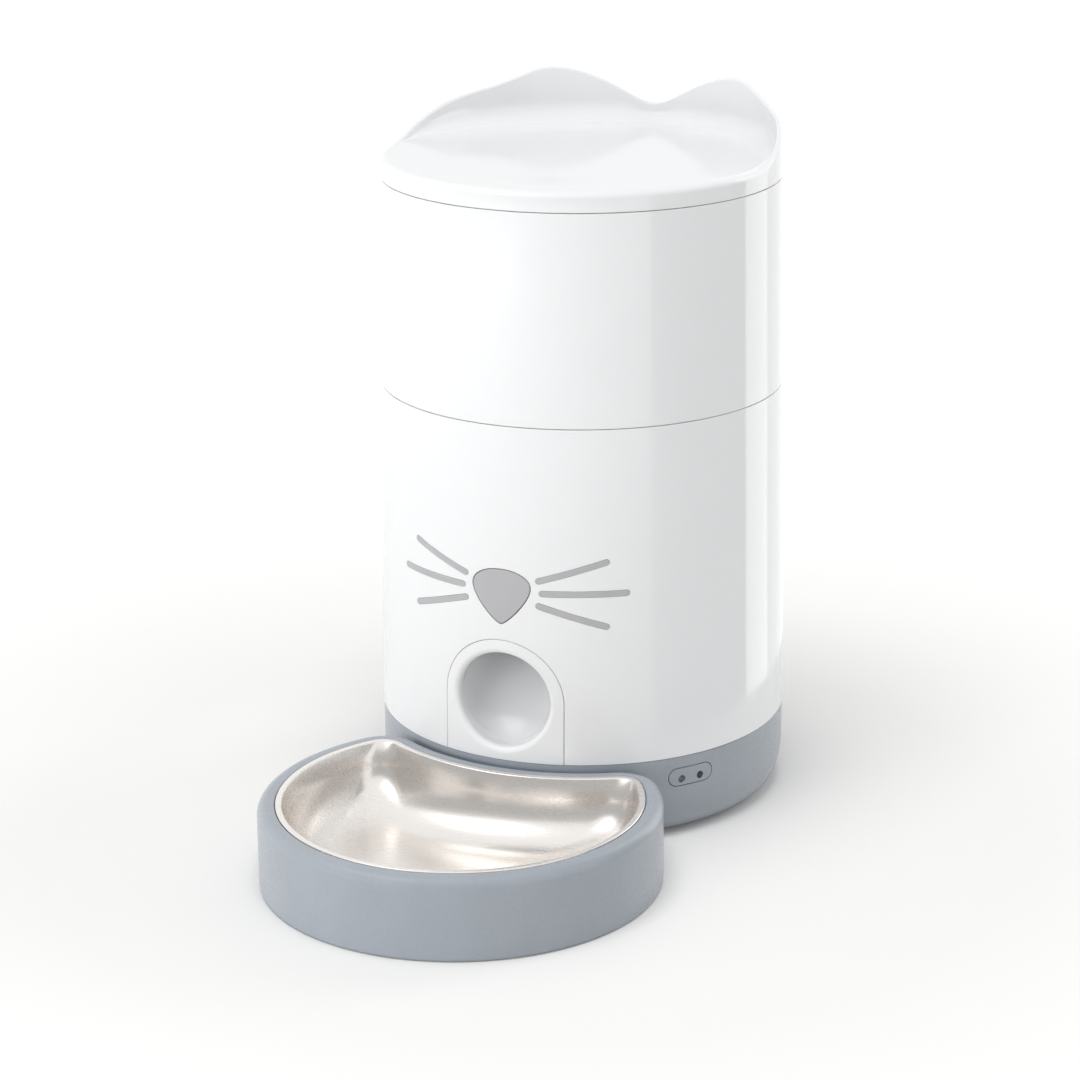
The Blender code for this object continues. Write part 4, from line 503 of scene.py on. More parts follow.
class Wall:
    """A cone about the tower's axis. A place on it is a way round from the front and a height."""

    def __init__(self, low_z, low_r, high_z, high_r):
        self.low_z, self.low_r = low_z, low_r
        self.taper = (low_r - high_r) / (high_z - low_z)

    def radius(self, z):
        return self.low_r - self.taper * (z - self.low_z)

    def place(self, way, z, depth=0.0):
        return around(self.radius(z) - depth, way / self.low_r, z)

    def outline(self, flat, turn=0.0):
        """An outline drawn on a plane before the wall, told on the wall."""
        return [((turn + asin(u / self.radius(z))) * self.low_r, z) for u, z in flat]

    def ring_ways(self, first):
        """Ways round the whole wall, from a starting direction back to itself."""
        return [(first + tau * index / RING_COLUMNS) * self.low_r for index in range(RING_COLUMNS + 1)]

    def row(self, loop, depth):
        return [self.place(way, z, depth) for way, z in loop]

    def edge(self, skin, loop, radius, thick, closed=True, face=0.0):
        """The rounded edge of a loop and the side below it. Returns the loop where the face begins."""
        rows = [self.row(loop, thick)]
        inner = loop
        for angle in quarter(ROUND_STEPS):
            inner = moved_in(loop, radius * (1 - cos(angle)), closed)
            rows.append(self.row(inner, face + radius * (1 - sin(angle))))
        skin.grid(rows, closed)
        return inner

    def fill(self, skin, polygons, depth, step):
        """Small triangles over the region inside an odd number of the polygons."""
        polygons = [divided(polygon, GRID) for polygon in polygons]
        corners = np.array([point for polygon in polygons for point in polygon])
        ends = np.array([point for polygon in polygons for point in polygon[1:] + polygon[:1]])
        outlines = []
        first = 0
        for polygon in polygons:
            outline = list(range(first, first + len(polygon)))
            outlines.append(outline if area(polygon) > 0 else outline[::-1])
            first += len(polygon)
        low, high = corners.min(0), corners.max(0)
        spans = [np.linspace(a, b, max(2, ceil((b - a) / step))) for a, b in zip(low, high)]
        grid = np.array(np.meshgrid(*spans)).reshape(2, -1).T
        near = np.array([np.hypot(*(corners - point).T).min() for point in grid])
        grid = grid[(near > step * GRID_MARGIN_SHARE) & inside(grid, corners, ends)]
        points = [Vector(point) for point in np.vstack([corners, grid])]
        places, _, faces, _, _, owners = delaunay_2d_cdt(points, [], outlines, 0, WELD / 4)
        for face, owner in zip(faces, owners):
            if len(owner) % 2 == 1:
                skin.face(*(self.place(*places[index], depth) for index in face))

    def slab(self, skin, loop, near, far, radius, step=FINE_GRID):
        """A closed plate that follows the wall between two depths, its outer edge rounded."""
        inner = self.edge(skin, loop, radius, far, face=near)
        self.fill(skin, [inner], near, step)
        self.fill(skin, [loop], far, step)

    def true_normals(self, piece):
        """Give the corners on the wall the cone's own normals, so that its gloss is even."""
        mesh = piece.data
        normals = [Vector(corner.vector) for corner in mesh.corner_normals]
        for face in mesh.polygons:
            for loop in face.loop_indices:
                x, y, z = mesh.vertices[mesh.loops[loop].vertex_index].co
                y -= AXIS_Y
                radius = hypot(x, y)
                if abs(radius - self.radius(z)) < ON_WALL:
                    true = Vector((x / radius, y / radius, self.taper)).normalized()
                    if true.dot(face.normal) > FACING:
                        normals[loop] = true
        mesh.normals_split_custom_set(normals)
        return piece


def inside(points, starts, ends):
    """Which points lie inside an odd number of the polygons that the edges make."""
    crossings = np.zeros(len(points), int)
    x, y = points[:, 0], points[:, 1]
    for (ax, ay), (bx, by) in zip(starts, ends):
        if ay == by:
            continue
        spans = (y >= min(ay, by)) & (y < max(ay, by))
        crossings += spans & (x < ax + (y - ay) * (bx - ax) / (by - ay))
    return crossings % 2 == 1


TOWER = Wall(BODY_LOW.z, BODY_R, LID_LOW.z, TOP_R)
BASE_R = BASE_HIGH.x
BASE_ROUND_TOP = BASE_BOTTOM_Z + BASE_ROUND_HEIGHT
BASE_WALL = Wall(BASE_ROUND_TOP, BASE_R - BASE_DRAFT, BODY_LOW.z - FIT, BASE_R)


# Lid

def table_value(table, x):
    """A smooth curve through the table's points."""
    last = len(table) - 1
    for index in range(last):
        (x0, y0), (x1, y1) = table[index], table[index + 1]
        if x <= x1:
            slopes = []
            for here in (index, index + 1):
                (low_x, low_y), (high_x, high_y) = table[max(here - 1, 0)], table[min(here + 1, last)]
                slopes.append((high_y - low_y) / (high_x - low_x) * (x1 - x0))
            t = (x - x0) / (x1 - x0)
            rise = y1 - y0
            bend = slopes[0] - rise + (2 * rise - slopes[0] - slopes[1]) * t
            return y0 + rise * t + t * (1 - t) * bend
    return table[-1][1]


def ease(low, high, value):
    share = min(max((value - low) / (high - low), 0.0), 1.0)
    return share * share * (3 - 2 * share)


def lid_section(turn):
    """(radius, z) from the middle of the lid's top, over the ear or shoulder and round to the underside."""
    from_rear = abs(degrees(remainder(turn - pi, tau)))
    share = max(0.0, table_value(EAR_SHARES, from_rear))
    is_ear = ease(0.0, EAR_FADE_SHARE, share)
    rise = share * (LID_HIGH.z - LID_TOP_Z)
    top_z = LID_TOP_Z + rise
    out_r = TOP_R - EAR_LEAN * share
    out_wide = SHOULDER_WIDE + (EAR_WALL / 2 - SHOULDER_WIDE) * is_ear
    out_tall = SHOULDER_TALL + (EAR_WALL / 2 - SHOULDER_TALL) * is_ear
    crest_r = out_r - out_wide
    in_wide = max(EAR_DRAFT, EAR_WALL / 2 * is_ear)
    in_tall = min(EAR_WALL / 2, rise * CREST_SHARE)
    wall_r = crest_r - in_wide - EAR_DRAFT
    foot_tall = min(EAR_FOOT, (rise - in_tall) * FOOT_SHARE)
    foot_wide = max(3 * EAR_DRAFT, EAR_FOOT * ease(0.0, FOOT_FADE_SHARE, share))
    foot_r = wall_r - foot_wide
    band_z = LID_TOP_Z - SHOULDER_TALL
    dish_z = LID_TOP_Z - RIM_SWELL
    section = [(0.0, dish_z)]
    for step in range(1, DISH_STEPS + 1):
        radius = foot_r * step / DISH_STEPS
        section.append((radius, dish_z + RIM_SWELL * ease(DISH_R * DISH_START_SHARE, foot_r, radius)))
    for angle in quarter(FOOT_STEPS, 1):
        section.append((foot_r + foot_wide * sin(angle), LID_TOP_Z + foot_tall * (1 - cos(angle))))
    for step in range(1, EAR_STEPS + 1):
        climb = foot_tall + (rise - in_tall - foot_tall) * step / EAR_STEPS
        section.append((wall_r + EAR_DRAFT * step / EAR_STEPS, LID_TOP_Z + climb))
    for angle in quarter(EAR_STEPS, 1):
        section.append((crest_r - in_wide * cos(angle), top_z - in_tall * (1 - sin(angle))))
    for angle in quarter(CREST_STEPS, 1):
        section.append((crest_r + out_wide * sin(angle), top_z - out_tall * (1 - cos(angle))))
    for step in range(1, FOOT_STEPS + 1):
        down = step / FOOT_STEPS
        lean = out_r + (TOP_R - out_r) * ease(0.0, 1.0, down)
        section.append((lean, top_z - out_tall + (band_z - top_z + out_tall) * down))
    inner_r = TOP_R - LID_WALL
    under_z = LID_TOP_Z - LID_WALL
    skirt = [
        (TOP_R, band_z), (TOP_R, LID_LOW.z), (inner_r, LID_LOW.z), (inner_r, under_z),
        (inner_r - EAR_WALL, under_z),
    ]
    return section + rounded(skirt, (SEAM_ROUND, SEAM_ROUND, EAR_WALL / 2))[1:]


def make_lid_shell():
    turns = [tau * index / LID_COLUMNS for index in range(LID_COLUMNS)]
    sections = [lid_section(turn) for turn in turns]
    rows = [[(0.0, AXIS_Y, sections[0][0][1])]]
    for level in range(1, len(sections[0])):
        places = [(turn, *section[level]) for turn, section in zip(turns, sections)]
        rows.append([around(radius, turn, z) for turn, radius, z in places])
    rows.append([(0.0, AXIS_Y, LID_TOP_Z - LID_WALL)])
    skin = Skin()
    skin.grid(rows, closed=True)
    return skin.piece("lid_moulding")


# Container

def make_container():
    low_z, high_z = BODY_HIGH.z + FIT, CONTAINER_HIGH.z
    lip_low_z = low_z - LIP_DEPTH
    mid_seam_z = low_z - FIT / 2
    lip_r = TOWER.radius(low_z) - WALL - FIT
    funnel_z = mid_seam_z + FUNNEL_RISE
    chamber_z = mid_seam_z - CHAMBER_DROP
    bottom_z = chamber_z - CHAMBER_HEIGHT
    outer_r = CHAMBER_R + CHAMBER_WALL
    middle_z = (funnel_z + high_z) / 2
    profile = rounded([
        (TOWER.radius(middle_z), middle_z), (TOWER.radius(low_z), low_z), (lip_r, low_z),
        (lip_r, lip_low_z), (lip_r - LIP_WALL, lip_low_z), (lip_r - LIP_WALL, funnel_z - 2 * CHAMBER_WALL),
        (outer_r, chamber_z - CHAMBER_WALL / 2), (outer_r, bottom_z), (CHAMBER_R, bottom_z),
        (CHAMBER_R, chamber_z), (TOWER.radius(funnel_z) - WALL, funnel_z),
        (TOWER.radius(high_z) - WALL, high_z), (TOWER.radius(high_z), high_z),
        (TOWER.radius(middle_z), middle_z),
    ], (SEAM_ROUND, 0, SEAM_ROUND, SEAM_ROUND, 2 * SEAM_ROUND, 2 * CHAMBER_WALL, SEAM_ROUND, SEAM_ROUND,
        2 * CHAMBER_WALL, 4 * CHAMBER_WALL, SEAM_ROUND, SEAM_ROUND))
    return TOWER.true_normals(turned("container_moulding", profile[:-1]))


# Lower casing and the face

def nose_outline(margin):
    """The nose's outline on a plane before the wall, grown by a margin."""
    half = [(u * NOSE_WIDTH / 2, NOSE_Z + v * NOSE_HEIGHT) for u, v in NOSE_SHARES]
    outline = [(-u, v) for u, v in half[1:-1]] + half[::-1]
    return moved_in(smooth(outline, NOSE_STEPS), -margin)


def whisker_across(side, way):
    return side * TOWER.radius(NOSE_Z) * sin((way - WHISKER_MIDDLE) / TOWER.radius(NOSE_Z))


def whisker_turn(side):
    return side * (NOSE_WIDTH / 2 + WHISKER_MIDDLE) / TOWER.radius(NOSE_Z)


def whisker_outlines(side, margin):
    """Outlines of the three bars on one side, told on the wall."""
    outlines = []
    for inner_way, inner_rise, outer_way, outer_rise in WHISKERS:
        ends = [(whisker_across(side, inner_way), NOSE_Z + inner_rise),
                (whisker_across(side, outer_way), NOSE_Z + outer_rise)]
        outline = divided(bar(*ends, WHISKER_WIDTH + 2 * margin), EDGE_STEP)
        outlines.append(TOWER.outline(outline, whisker_turn(side)))
    return outlines


def arch_line(radius, low_z):
    """Up one side, over the arch and down the other, from left to right."""
    over = arc(radius, pi, 0.0, ARCH_STEPS, (0.0, MOUTH_Z))
    return divided([(-radius, low_z)] + over + [(radius, low_z)], EDGE_STEP, closed=False)


def make_body_shell():
    skin = Skin()
    low_z, high_z = BODY_LOW.z, BODY_HIGH.z
    clear = 2 * SEAM_ROUND
    ways = TOWER.ring_ways(-pi)
    doorway = TOWER.outline(arch_line(ARCH_R + DOORWAY_GAP, low_z))
    sill = [(way, low_z) for way in ways if way < doorway[0][0] - clear]
    sill += doorway + [(way, low_z) for way in ways if way > doorway[-1][0] + clear]
    top = [(way, high_z) for way in reversed(ways)]
    holes = [TOWER.outline(nose_outline(NOSE_GAP))[::-1]]
    for side in (-1, 1):
        holes += [outline[::-1] for outline in whisker_outlines(side, WHISKER_GAP)]
    sill_in = TOWER.edge(skin, sill, SEAM_ROUND, WALL, closed=False)
    top_in = TOWER.edge(skin, top, SEAM_ROUND, WALL, closed=False)
    holes_in = [TOWER.edge(skin, hole, WHISKER_ROUND, WALL) for hole in holes]
    TOWER.fill(skin, [sill_in + top_in] + holes_in, 0.0, GRID)
    slope_z = LEDGE_Z - LEDGE_THICK - LEDGE
    TOWER.fill(skin, [sill + [(way, slope_z) for way in reversed(ways)]] + holes, WALL, GRID)
    inner = [(slope_z, WALL), (LEDGE_Z - LEDGE_THICK, WALL + LEDGE), (LEDGE_Z, WALL + LEDGE),
             (LEDGE_Z, WALL), (high_z, WALL)]
    skin.grid([TOWER.row([(way, z) for way in ways], depth) for z, depth in inner])
    return TOWER.true_normals(skin.piece("casing_moulding"))


def make_nose():
    skin = Skin()
    flange_depth = WALL + FIT
    TOWER.slab(skin, TOWER.outline(nose_outline(0.0)), 0.0, flange_depth + FIT, NOSE_ROUND)
    TOWER.slab(skin, TOWER.outline(nose_outline(NOSE_FLANGE)), flange_depth,
               flange_depth + NOSE_FLANGE_THICK, PLATE_ROUND)
    root_y = AXIS_Y - TOWER.radius(NOSE_Z) + flange_depth + NOSE_FLANGE_THICK / 2
    stem_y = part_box("nose_button")[1].y
    stem = circle(NOSE_STEM_R, ROD_COLUMNS, (0.0, NOSE_Z))
    skin.solid([[(u, y, v) for u, v in stem] for y in (root_y, stem_y)])
    return TOWER.true_normals(skin.piece("nose_cap"))


def make_whiskers(name, side):
    skin = Skin()
    back = WALL + FIT
    for outline in whisker_outlines(side, 0.0):
        TOWER.slab(skin, outline, 0.0, back + FIT, WHISKER_ROUND)
    corners = []
    for way, low, high in ((WHISKER_BACK_FROM, WHISKERS[2][1], WHISKERS[0][1]),
                           (WHISKER_BACK_TO, WHISKERS[2][3], WHISKERS[0][3])):
        along = whisker_across(side, way)
        corners.append((along, NOSE_Z + low - WHISKER_BACK_MARGIN))
        corners.append((along, NOSE_Z + high + WHISKER_BACK_MARGIN))
    plate = [corners[index] for index in (0, 2, 3, 1)][::side]
    plate = TOWER.outline(divided(plate, EDGE_STEP), whisker_turn(side))
    TOWER.slab(skin, plate, back, back + WHISKER_BACK_THICK, PLATE_ROUND)
    return TOWER.true_normals(skin.piece(name))


# Chute

def bend_reach(behind):
    """How far along its slope the channel has come, at a distance behind its bend."""
    return (behind + hypot(behind, CHUTE_SOFT)) / 2


def channel_row(behind, radius, inset):
    """A slice across the channel, under the arch: round at the mouth, squarer and higher at the rear."""
    start = bend_reach(CHUTE_START)
    share = (bend_reach(behind) - start) / (bend_reach(CHUTE_RUN) - start)
    centre_z = MOUTH_Z + CHUTE_RISE * (1 - (1 - share) ** CHUTE_CURVE)
    power = ROUND_POWER + (SQUARE_POWER - ROUND_POWER) * max(0.0, behind / CHUTE_RUN) ** SQUARING
    roof = ARCH_R - inset
    low_z = centre_z - radius
    middle_z = (low_z + min(centre_z + radius, MOUTH_Z + roof)) / 2

    def holds(x, z):
        if abs(x / radius) ** power + abs((z - centre_z) / radius) ** power > 1:
            return False
        return hypot(x, max(0.0, z - MOUTH_Z)) < roof

    row = []
    for across, up in circle(1.0, MOUTH_COLUMNS):
        near, far = 0.0, 2 * radius
        for _ in range(SEARCH_STEPS):
            reach = (near + far) / 2
            if holds(across * reach, middle_z + up * reach):
                near = reach
            else:
                far = reach
        row.append((across * near, AXIS_Y - CHUTE_BEND_Y + behind, middle_z + up * near))
    return row


def make_chute():
    skin = Skin()
    low_z = BODY_LOW.z
    side = arch_line(ARCH_R, low_z)
    floor = divided([(-ARCH_R, low_z), (ARCH_R, low_z)], EDGE_STEP, closed=False)[1:-1]
    outline = TOWER.outline(side[::-1] + floor)
    panel_in = TOWER.edge(skin, outline, SEAM_ROUND, WALL)
    centre = (0.0, MOUTH_Z)
    mouth = circle(MOUTH_R + MOUTH_ROUND, MOUTH_COLUMNS, centre, tau)
    TOWER.fill(skin, [panel_in, TOWER.outline(mouth)], 0.0, FINE_GRID)
    rows = []
    for angle in quarter(MOUTH_STEPS):
        ring = circle(MOUTH_R + MOUTH_ROUND * (1 - sin(angle)), MOUTH_COLUMNS, centre)
        depth = MOUTH_ROUND * (1 - cos(angle))
        rows.append([(u, AXIS_Y - sqrt(TOWER.radius(v) ** 2 - u * u) + depth, v) for u, v in ring])
    slices = []
    for step in range(CHANNEL_STEPS + 1):
        slices.append(CHUTE_START + (CHUTE_RUN - CHUTE_START) * (step / CHANNEL_STEPS) ** CHANNEL_CROWDING)
    rows += [channel_row(behind, MOUTH_R, CHUTE_INSET + CHUTE_WALL) for behind in slices]
    rows += [channel_row(behind, MOUTH_R + CHUTE_WALL, CHUTE_INSET) for behind in reversed(slices)]
    back = TOWER.outline(circle(MOUTH_R + CHUTE_WALL, MOUTH_COLUMNS, centre))
    rows.append(TOWER.row(back, WALL))
    skin.grid(rows, closed=True)
    TOWER.fill(skin, [outline, back], WALL, FINE_GRID)
    reach = ARCH_R + OVERRUN
    under_duct = block((-reach, AXIS_Y - CHUTE_CUT_Y, CHUTE_CUT_Z), (reach, AXIS_Y, MOUTH_Z + reach))
    piece = cut(skin.piece("chute_moulding"), under_duct)
    clean_cut(piece.data)
    return TOWER.true_normals(piece)


# Grey base and its status window

def make_base_shell():
    skin = Skin()
    top_z = BODY_LOW.z - SEAM_GAP
    ways = BASE_WALL.ring_ways(BASE_START)
    window = BASE_WALL.outline(pill(STATUS_WIDTH + 2 * STATUS_GAP, STATUS_HEIGHT + 2 * STATUS_GAP,
                                    (0.0, STATUS_Z)), STATUS_ANGLE)
    inlet = BASE_WALL.outline(circle(INLET_R, INLET_COLUMNS, (0.0, INLET_Z)), pi)
    holes = [divided(window, EDGE_STEP)[::-1], inlet[::-1]]
    low_line = [(way, BASE_ROUND_TOP) for way in ways]
    high_line = [(way, top_z) for way in reversed(ways)]
    high_in = BASE_WALL.edge(skin, high_line, SEAM_ROUND, 2 * SEAM_ROUND, closed=False)
    holes_in = [BASE_WALL.edge(skin, hole, SEAM_ROUND, WALL) for hole in holes]
    BASE_WALL.fill(skin, [low_line + high_in] + holes_in, 0.0, GRID)
    shelf_z = top_z - 2 * WALL
    BASE_WALL.fill(skin, [low_line + [(way, shelf_z) for way in reversed(ways)]] + holes, WALL, GRID)
    spigot_r = TOWER.radius(top_z) - WALL - FIT
    spigot_in = spigot_r - SPIGOT_WALL
    foot_r = BASE_WALL.low_r - BASE_ROUND_WIDTH
    rim_r = foot_r - RIM_WIDTH
    outside = []
    inner = []
    for angle in quarter(BASE_STEPS):
        outside.append((foot_r + BASE_ROUND_WIDTH * cos(angle),
                        BASE_ROUND_TOP - BASE_ROUND_HEIGHT * sin(angle)))
        inner.append((foot_r + (BASE_ROUND_WIDTH - WALL) * cos(angle),
                      BASE_ROUND_TOP - (BASE_ROUND_HEIGHT - BASE_FLOOR) * sin(angle)))
    rim = rounded([
        outside[-1], (rim_r, BASE_BOTTOM_Z), (rim_r, SHELF_Z), (rim_r - SHELF_WIDTH, SHELF_Z),
        (rim_r - SHELF_WIDTH, BASE_BOTTOM_Z + BASE_FLOOR), inner[-1],
    ], (SEAM_ROUND, 0, SEAM_ROUND, SEAM_ROUND))
    spigot = rounded([
        (BASE_WALL.radius(shelf_z) - WALL, shelf_z), (spigot_in, top_z - WALL / 2),
        (spigot_in, top_z + SPIGOT_LENGTH), (spigot_r, top_z + SPIGOT_LENGTH), (spigot_r, top_z),
        (BASE_WALL.radius(top_z) - 2 * SEAM_ROUND, top_z),
    ], (0, SEAM_ROUND, SEAM_ROUND, 0))
    first = ways[0] / BASE_WALL.low_r
    for profile in (outside + rim[1:-1] + inner[::-1], spigot):
        skin.grid([round_row(radius, z, RING_COLUMNS, first) for radius, z in profile], closed=True)
    side = TONGUE_HALF_WIDTH + FIT
    tongue_slot = block((-side, AXIS_Y - BASE_R - OVERRUN, TONGUE_LOW_Z - FIT),
                        (side, AXIS_Y - BASE_R + 3 * OVERRUN, TONGUE_HIGH_Z + FIT))
    return BASE_WALL.true_normals(cut(skin.piece("base_moulding"), tongue_slot))


def make_status_panel():
    skin = Skin()
    outline = divided(pill(STATUS_WIDTH, STATUS_HEIGHT, (0.0, STATUS_Z)), EDGE_STEP)
    outline = BASE_WALL.outline(outline, STATUS_ANGLE)
    dots = []
    for side in (-1, 1):
        dot = circle(DOT_R + DOT_GAP, DOT_COLUMNS, (side * DOT_OUT, STATUS_Z - DOT_DROP), tau)
        dots.append(BASE_WALL.outline(dot, STATUS_ANGLE))
    panel_in = BASE_WALL.edge(skin, outline, STATUS_ROUND, WALL)
    dots_in = [BASE_WALL.edge(skin, dot, DOT_GAP, WALL) for dot in dots]
    BASE_WALL.fill(skin, [panel_in] + dots_in, 0.0, FINE_GRID / 2)
    BASE_WALL.fill(skin, [outline] + dots, WALL, FINE_GRID / 2)
    return BASE_WALL.true_normals(skin.piece("status_plate"))


def make_lens(name, side):
    """A short rod with a crowned face, seen through the status window."""
    along = Vector((cos(STATUS_ANGLE), sin(STATUS_ANGLE), 0.0))
    outward = Vector((sin(STATUS_ANGLE), -cos(STATUS_ANGLE), 0.0))
    face = BASE_WALL.low_r - FIT
    middle = Vector((0.0, AXIS_Y, STATUS_Z - DOT_DROP)) + along * side * DOT_OUT
    profile = [(0.0, face - DOT_LENGTH), (DOT_R, face - DOT_LENGTH), (DOT_R, face - DOT_CROWN)]
    for angle in quarter(LENS_STEPS, 1):
        profile.append((DOT_R * cos(angle), face - DOT_CROWN * (1 - sin(angle))))
    rows = []
    for radius, out in profile:
        row = []
        for u, v in circle(radius, DOT_COLUMNS) if radius > WELD else [(0.0, 0.0)]:
            row.append(tuple(middle + along * u + Vector((0.0, 0.0, v)) + outward * out))
        rows.append(row)
    skin = Skin()
    skin.grid(rows, closed=True)
    return skin.piece(name)


# Bowl

def crescent(inset, z, corner):
    """The bowl's outline moved inward: a circle whose back is hollowed to clear the tower."""
    back_r = BODY_R + BOWL_GAP
    forward = back_r + BOWL_REACH
    outer = BOWL_R - inset
    back = back_r + inset
    corner_y = ((outer - corner) ** 2 - (back + corner) ** 2 - forward ** 2) / (2 * forward)
    corner_x = sqrt((back + corner) ** 2 - corner_y ** 2)
    outer_turn = atan2(corner_y + forward, corner_x)
    back_turn = atan2(corner_y, corner_x)
    front = arc(outer, -pi - outer_turn, outer_turn, BOWL_FRONT_STEPS, (0.0, -forward))
    right = arc(corner, outer_turn, back_turn + pi, BOWL_CORNER_STEPS, (corner_x, corner_y))
    hollow = arc(back, back_turn, -pi - back_turn, BOWL_BACK_STEPS)
    left = [(-x, y) for x, y in reversed(right)]
    line = front[:-1] + right[:-1] + hollow[:-1] + left[:-1]
    return [(x, AXIS_Y + y, z) for x, y in line]


def crescent_piece(skin, profile, soft_from=BOWL_R):
    """Rows from a profile of (inset, z), closed into one piece. Past an inset its corners grow softer."""
    rows = []
    for inset, z in profile:
        corner = max(BOWL_CORNER_R - inset, BOWL_LEAST_CORNER_R)
        if inset > soft_from:
            corner = BOWL_CORNER_R - soft_from + CORNER_SOFTENING * (inset - soft_from)
            corner += LIP_SOFTENING * min(1.0, (inset - soft_from) / INSERT_SLOPE)
        rows.append(crescent(inset, z, corner))
    skin.solid(rows)


def make_tray():
    skin = Skin()
    rim_z = TRAY_HIGH.z
    ledge_z = rim_z - BOWL_LEDGE_DROP
    tub_in = BOWL_RIM_WIDTH + BOWL_LEDGE
    tub_out = tub_in - BOWL_SKIN
    floor_z = BOWL_FLOOR_GAP + BOWL_FLOOR
    under = rounded([
        (tub_out + 4 * BOWL_FLOOR, BOWL_FLOOR_GAP), (tub_out + 2 * BOWL_FLOOR, BOWL_FLOOR_GAP),
        (tub_out, BOWL_FLOOR_GAP + 2 * BOWL_FLOOR), (tub_out, ledge_z - BOWL_SKIN),
        (BOWL_SKIN, ledge_z - 2 * BOWL_SKIN), (BOWL_SKIN, 0.0), (0.0, 0.0), (0.0, rim_z / 2),
    ], (0, SEAM_ROUND, RIM_EDGE, RIM_EDGE, SEAM_ROUND, BOWL_FOOT_ROUND))
    over = rounded([
        (0.0, rim_z / 2), (0.0, rim_z), (BOWL_RIM_WIDTH, rim_z), (BOWL_RIM_WIDTH, ledge_z),
        (tub_in, ledge_z), (tub_in, floor_z), (tub_in + 4 * BOWL_FLOOR, floor_z),
    ], (BOWL_ROUND, RIM_EDGE, SEAM_ROUND, RIM_EDGE, BOWL_FLOOR), steps=BOWL_STEPS)
    crescent_piece(skin, under + over[1:])
    root_y = AXIS_Y - BODY_R - BOWL_GAP - BOWL_SKIN / 3
    tip_y = AXIS_Y - BASE_R + TONGUE_REACH
    half = TONGUE_HALF_WIDTH
    nib = TONGUE_CHAMFER
    tongue = ((-half, root_y), (half, root_y), (half, tip_y - nib), (half - nib, tip_y),
              (nib - half, tip_y), (-half, tip_y - nib))
    skin.solid([[(x, y, z) for x, y in tongue] for z in (TONGUE_LOW_Z, TONGUE_HIGH_Z)])
    return skin.piece("tray_moulding")


def make_steel_bowl():
    skin = Skin()
    lip_in = BOWL_RIM_WIDTH + FIT + LIP_WIDTH
    lip_out = lip_in - LIP_WIDTH
    lip_low_z = TRAY_HIGH.z - BOWL_LEDGE_DROP + FIT
    lip_high_z = TRAY_HIGH.z + LIP_PROUD
    floor_in = lip_in + INSERT_SLOPE + INSERT_FILLET
    fillet_z = INSERT_FLOOR_Z + INSERT_FILLET

    def floor_curve(offset):
        curve = [(floor_in + STEEL, INSERT_FLOOR_Z - offset)]
        radius = INSERT_FILLET + offset
        for angle in quarter(BOWL_STEPS):
            curve.append((floor_in - radius * sin(angle), fillet_z - radius * cos(angle)))
        return curve

    lip = rounded([
        floor_curve(STEEL)[-1], (lip_in - STEEL, lip_low_z), (lip_out, lip_low_z), (lip_out, lip_high_z),
        (lip_in, lip_high_z), floor_curve(0.0)[-1],
    ], (RIM_EDGE, SEAM_ROUND, STEEL * 0.7, STEEL * 1.1), steps=LIP_STEPS)
    crescent_piece(skin, floor_curve(STEEL)[:-1] + lip + floor_curve(0.0)[::-1][1:], lip_in)
    return skin.piece("steel_bowl")


# Materials

NOISE_LOW = 0.3
NOISE_HIGH = 0.7


def put(node, **values):
    """Set a node's sockets by name, with _ for a space."""
    for name, value in values.items():
        node.inputs[name.replace("_", " ")].default_value = value


class Finish:
    """A Principled material with short ways to add noise, bump and uneven gloss."""

    def __init__(self, name, colour, roughness, metallic=0.0):
        self.material = bpy.data.materials.new(name)
        self.material.use_nodes = True
        self.tree = self.material.node_tree
        self.shader = self.tree.nodes["Principled BSDF"]
        put(self.shader, Base_Color=(*colour, 1.0), Roughness=roughness, Metallic=metallic)
        self.place = self.tree.nodes.new("ShaderNodeTexCoord").outputs["Object"]
        self.material.diffuse_color = (*colour, 1.0)

    def node(self, kind, **values):
        node = self.tree.nodes.new("ShaderNode" + kind)
        for name, value in values.items():
            setattr(node, name, value)
        return node

    def link(self, source, target):
        self.tree.links.new(source, target)

    def noise(self, size, detail=2.0, stretch=(1.0, 1.0, 1.0)):
        """Noise whose patches are about this size, stretched along the axes."""
        mapping = self.node("Mapping")
        put(mapping, Scale=stretch)
        noise = self.node("TexNoise")
        put(noise, Scale=1 / size, Detail=detail)
        self.link(self.place, mapping.inputs["Vector"])
        self.link(mapping.outputs["Vector"], noise.inputs["Vector"])
        return noise.outputs["Fac"]

    def between(self, value, low, high):
        """Noise, which mostly keeps to a middle range, spread from low to high."""
        spread = self.node("MapRange")
        put(spread, From_Min=NOISE_LOW, From_Max=NOISE_HIGH, To_Min=low, To_Max=high)
        self.link(value, spread.inputs["Value"])
        return spread.outputs["Result"]

    def gloss(self, value, low, high):
        self.link(self.between(value, low, high), self.shader.inputs["Roughness"])

    def tint(self, value, low, high):
        """Colour that wanders between two shades."""
        mix = self.node("Mix", data_type="RGBA")
        put(mix, A=(*low, 1.0), B=(*high, 1.0))
        self.link(self.between(value, 0.0, 1.0), mix.inputs["Factor"])
        self.link(mix.outputs["Result"], self.shader.inputs["Base Color"])

    def bump(self, value, height, strength=1.0):
        bump = self.node("Bump")
        put(bump, Distance=height, Strength=strength)
        self.link(value, bump.inputs["Height"])
        self.link(bump.outputs["Normal"], self.shader.inputs["Normal"])


def shade(colour, factor):
    return tuple(channel * factor for channel in colour)


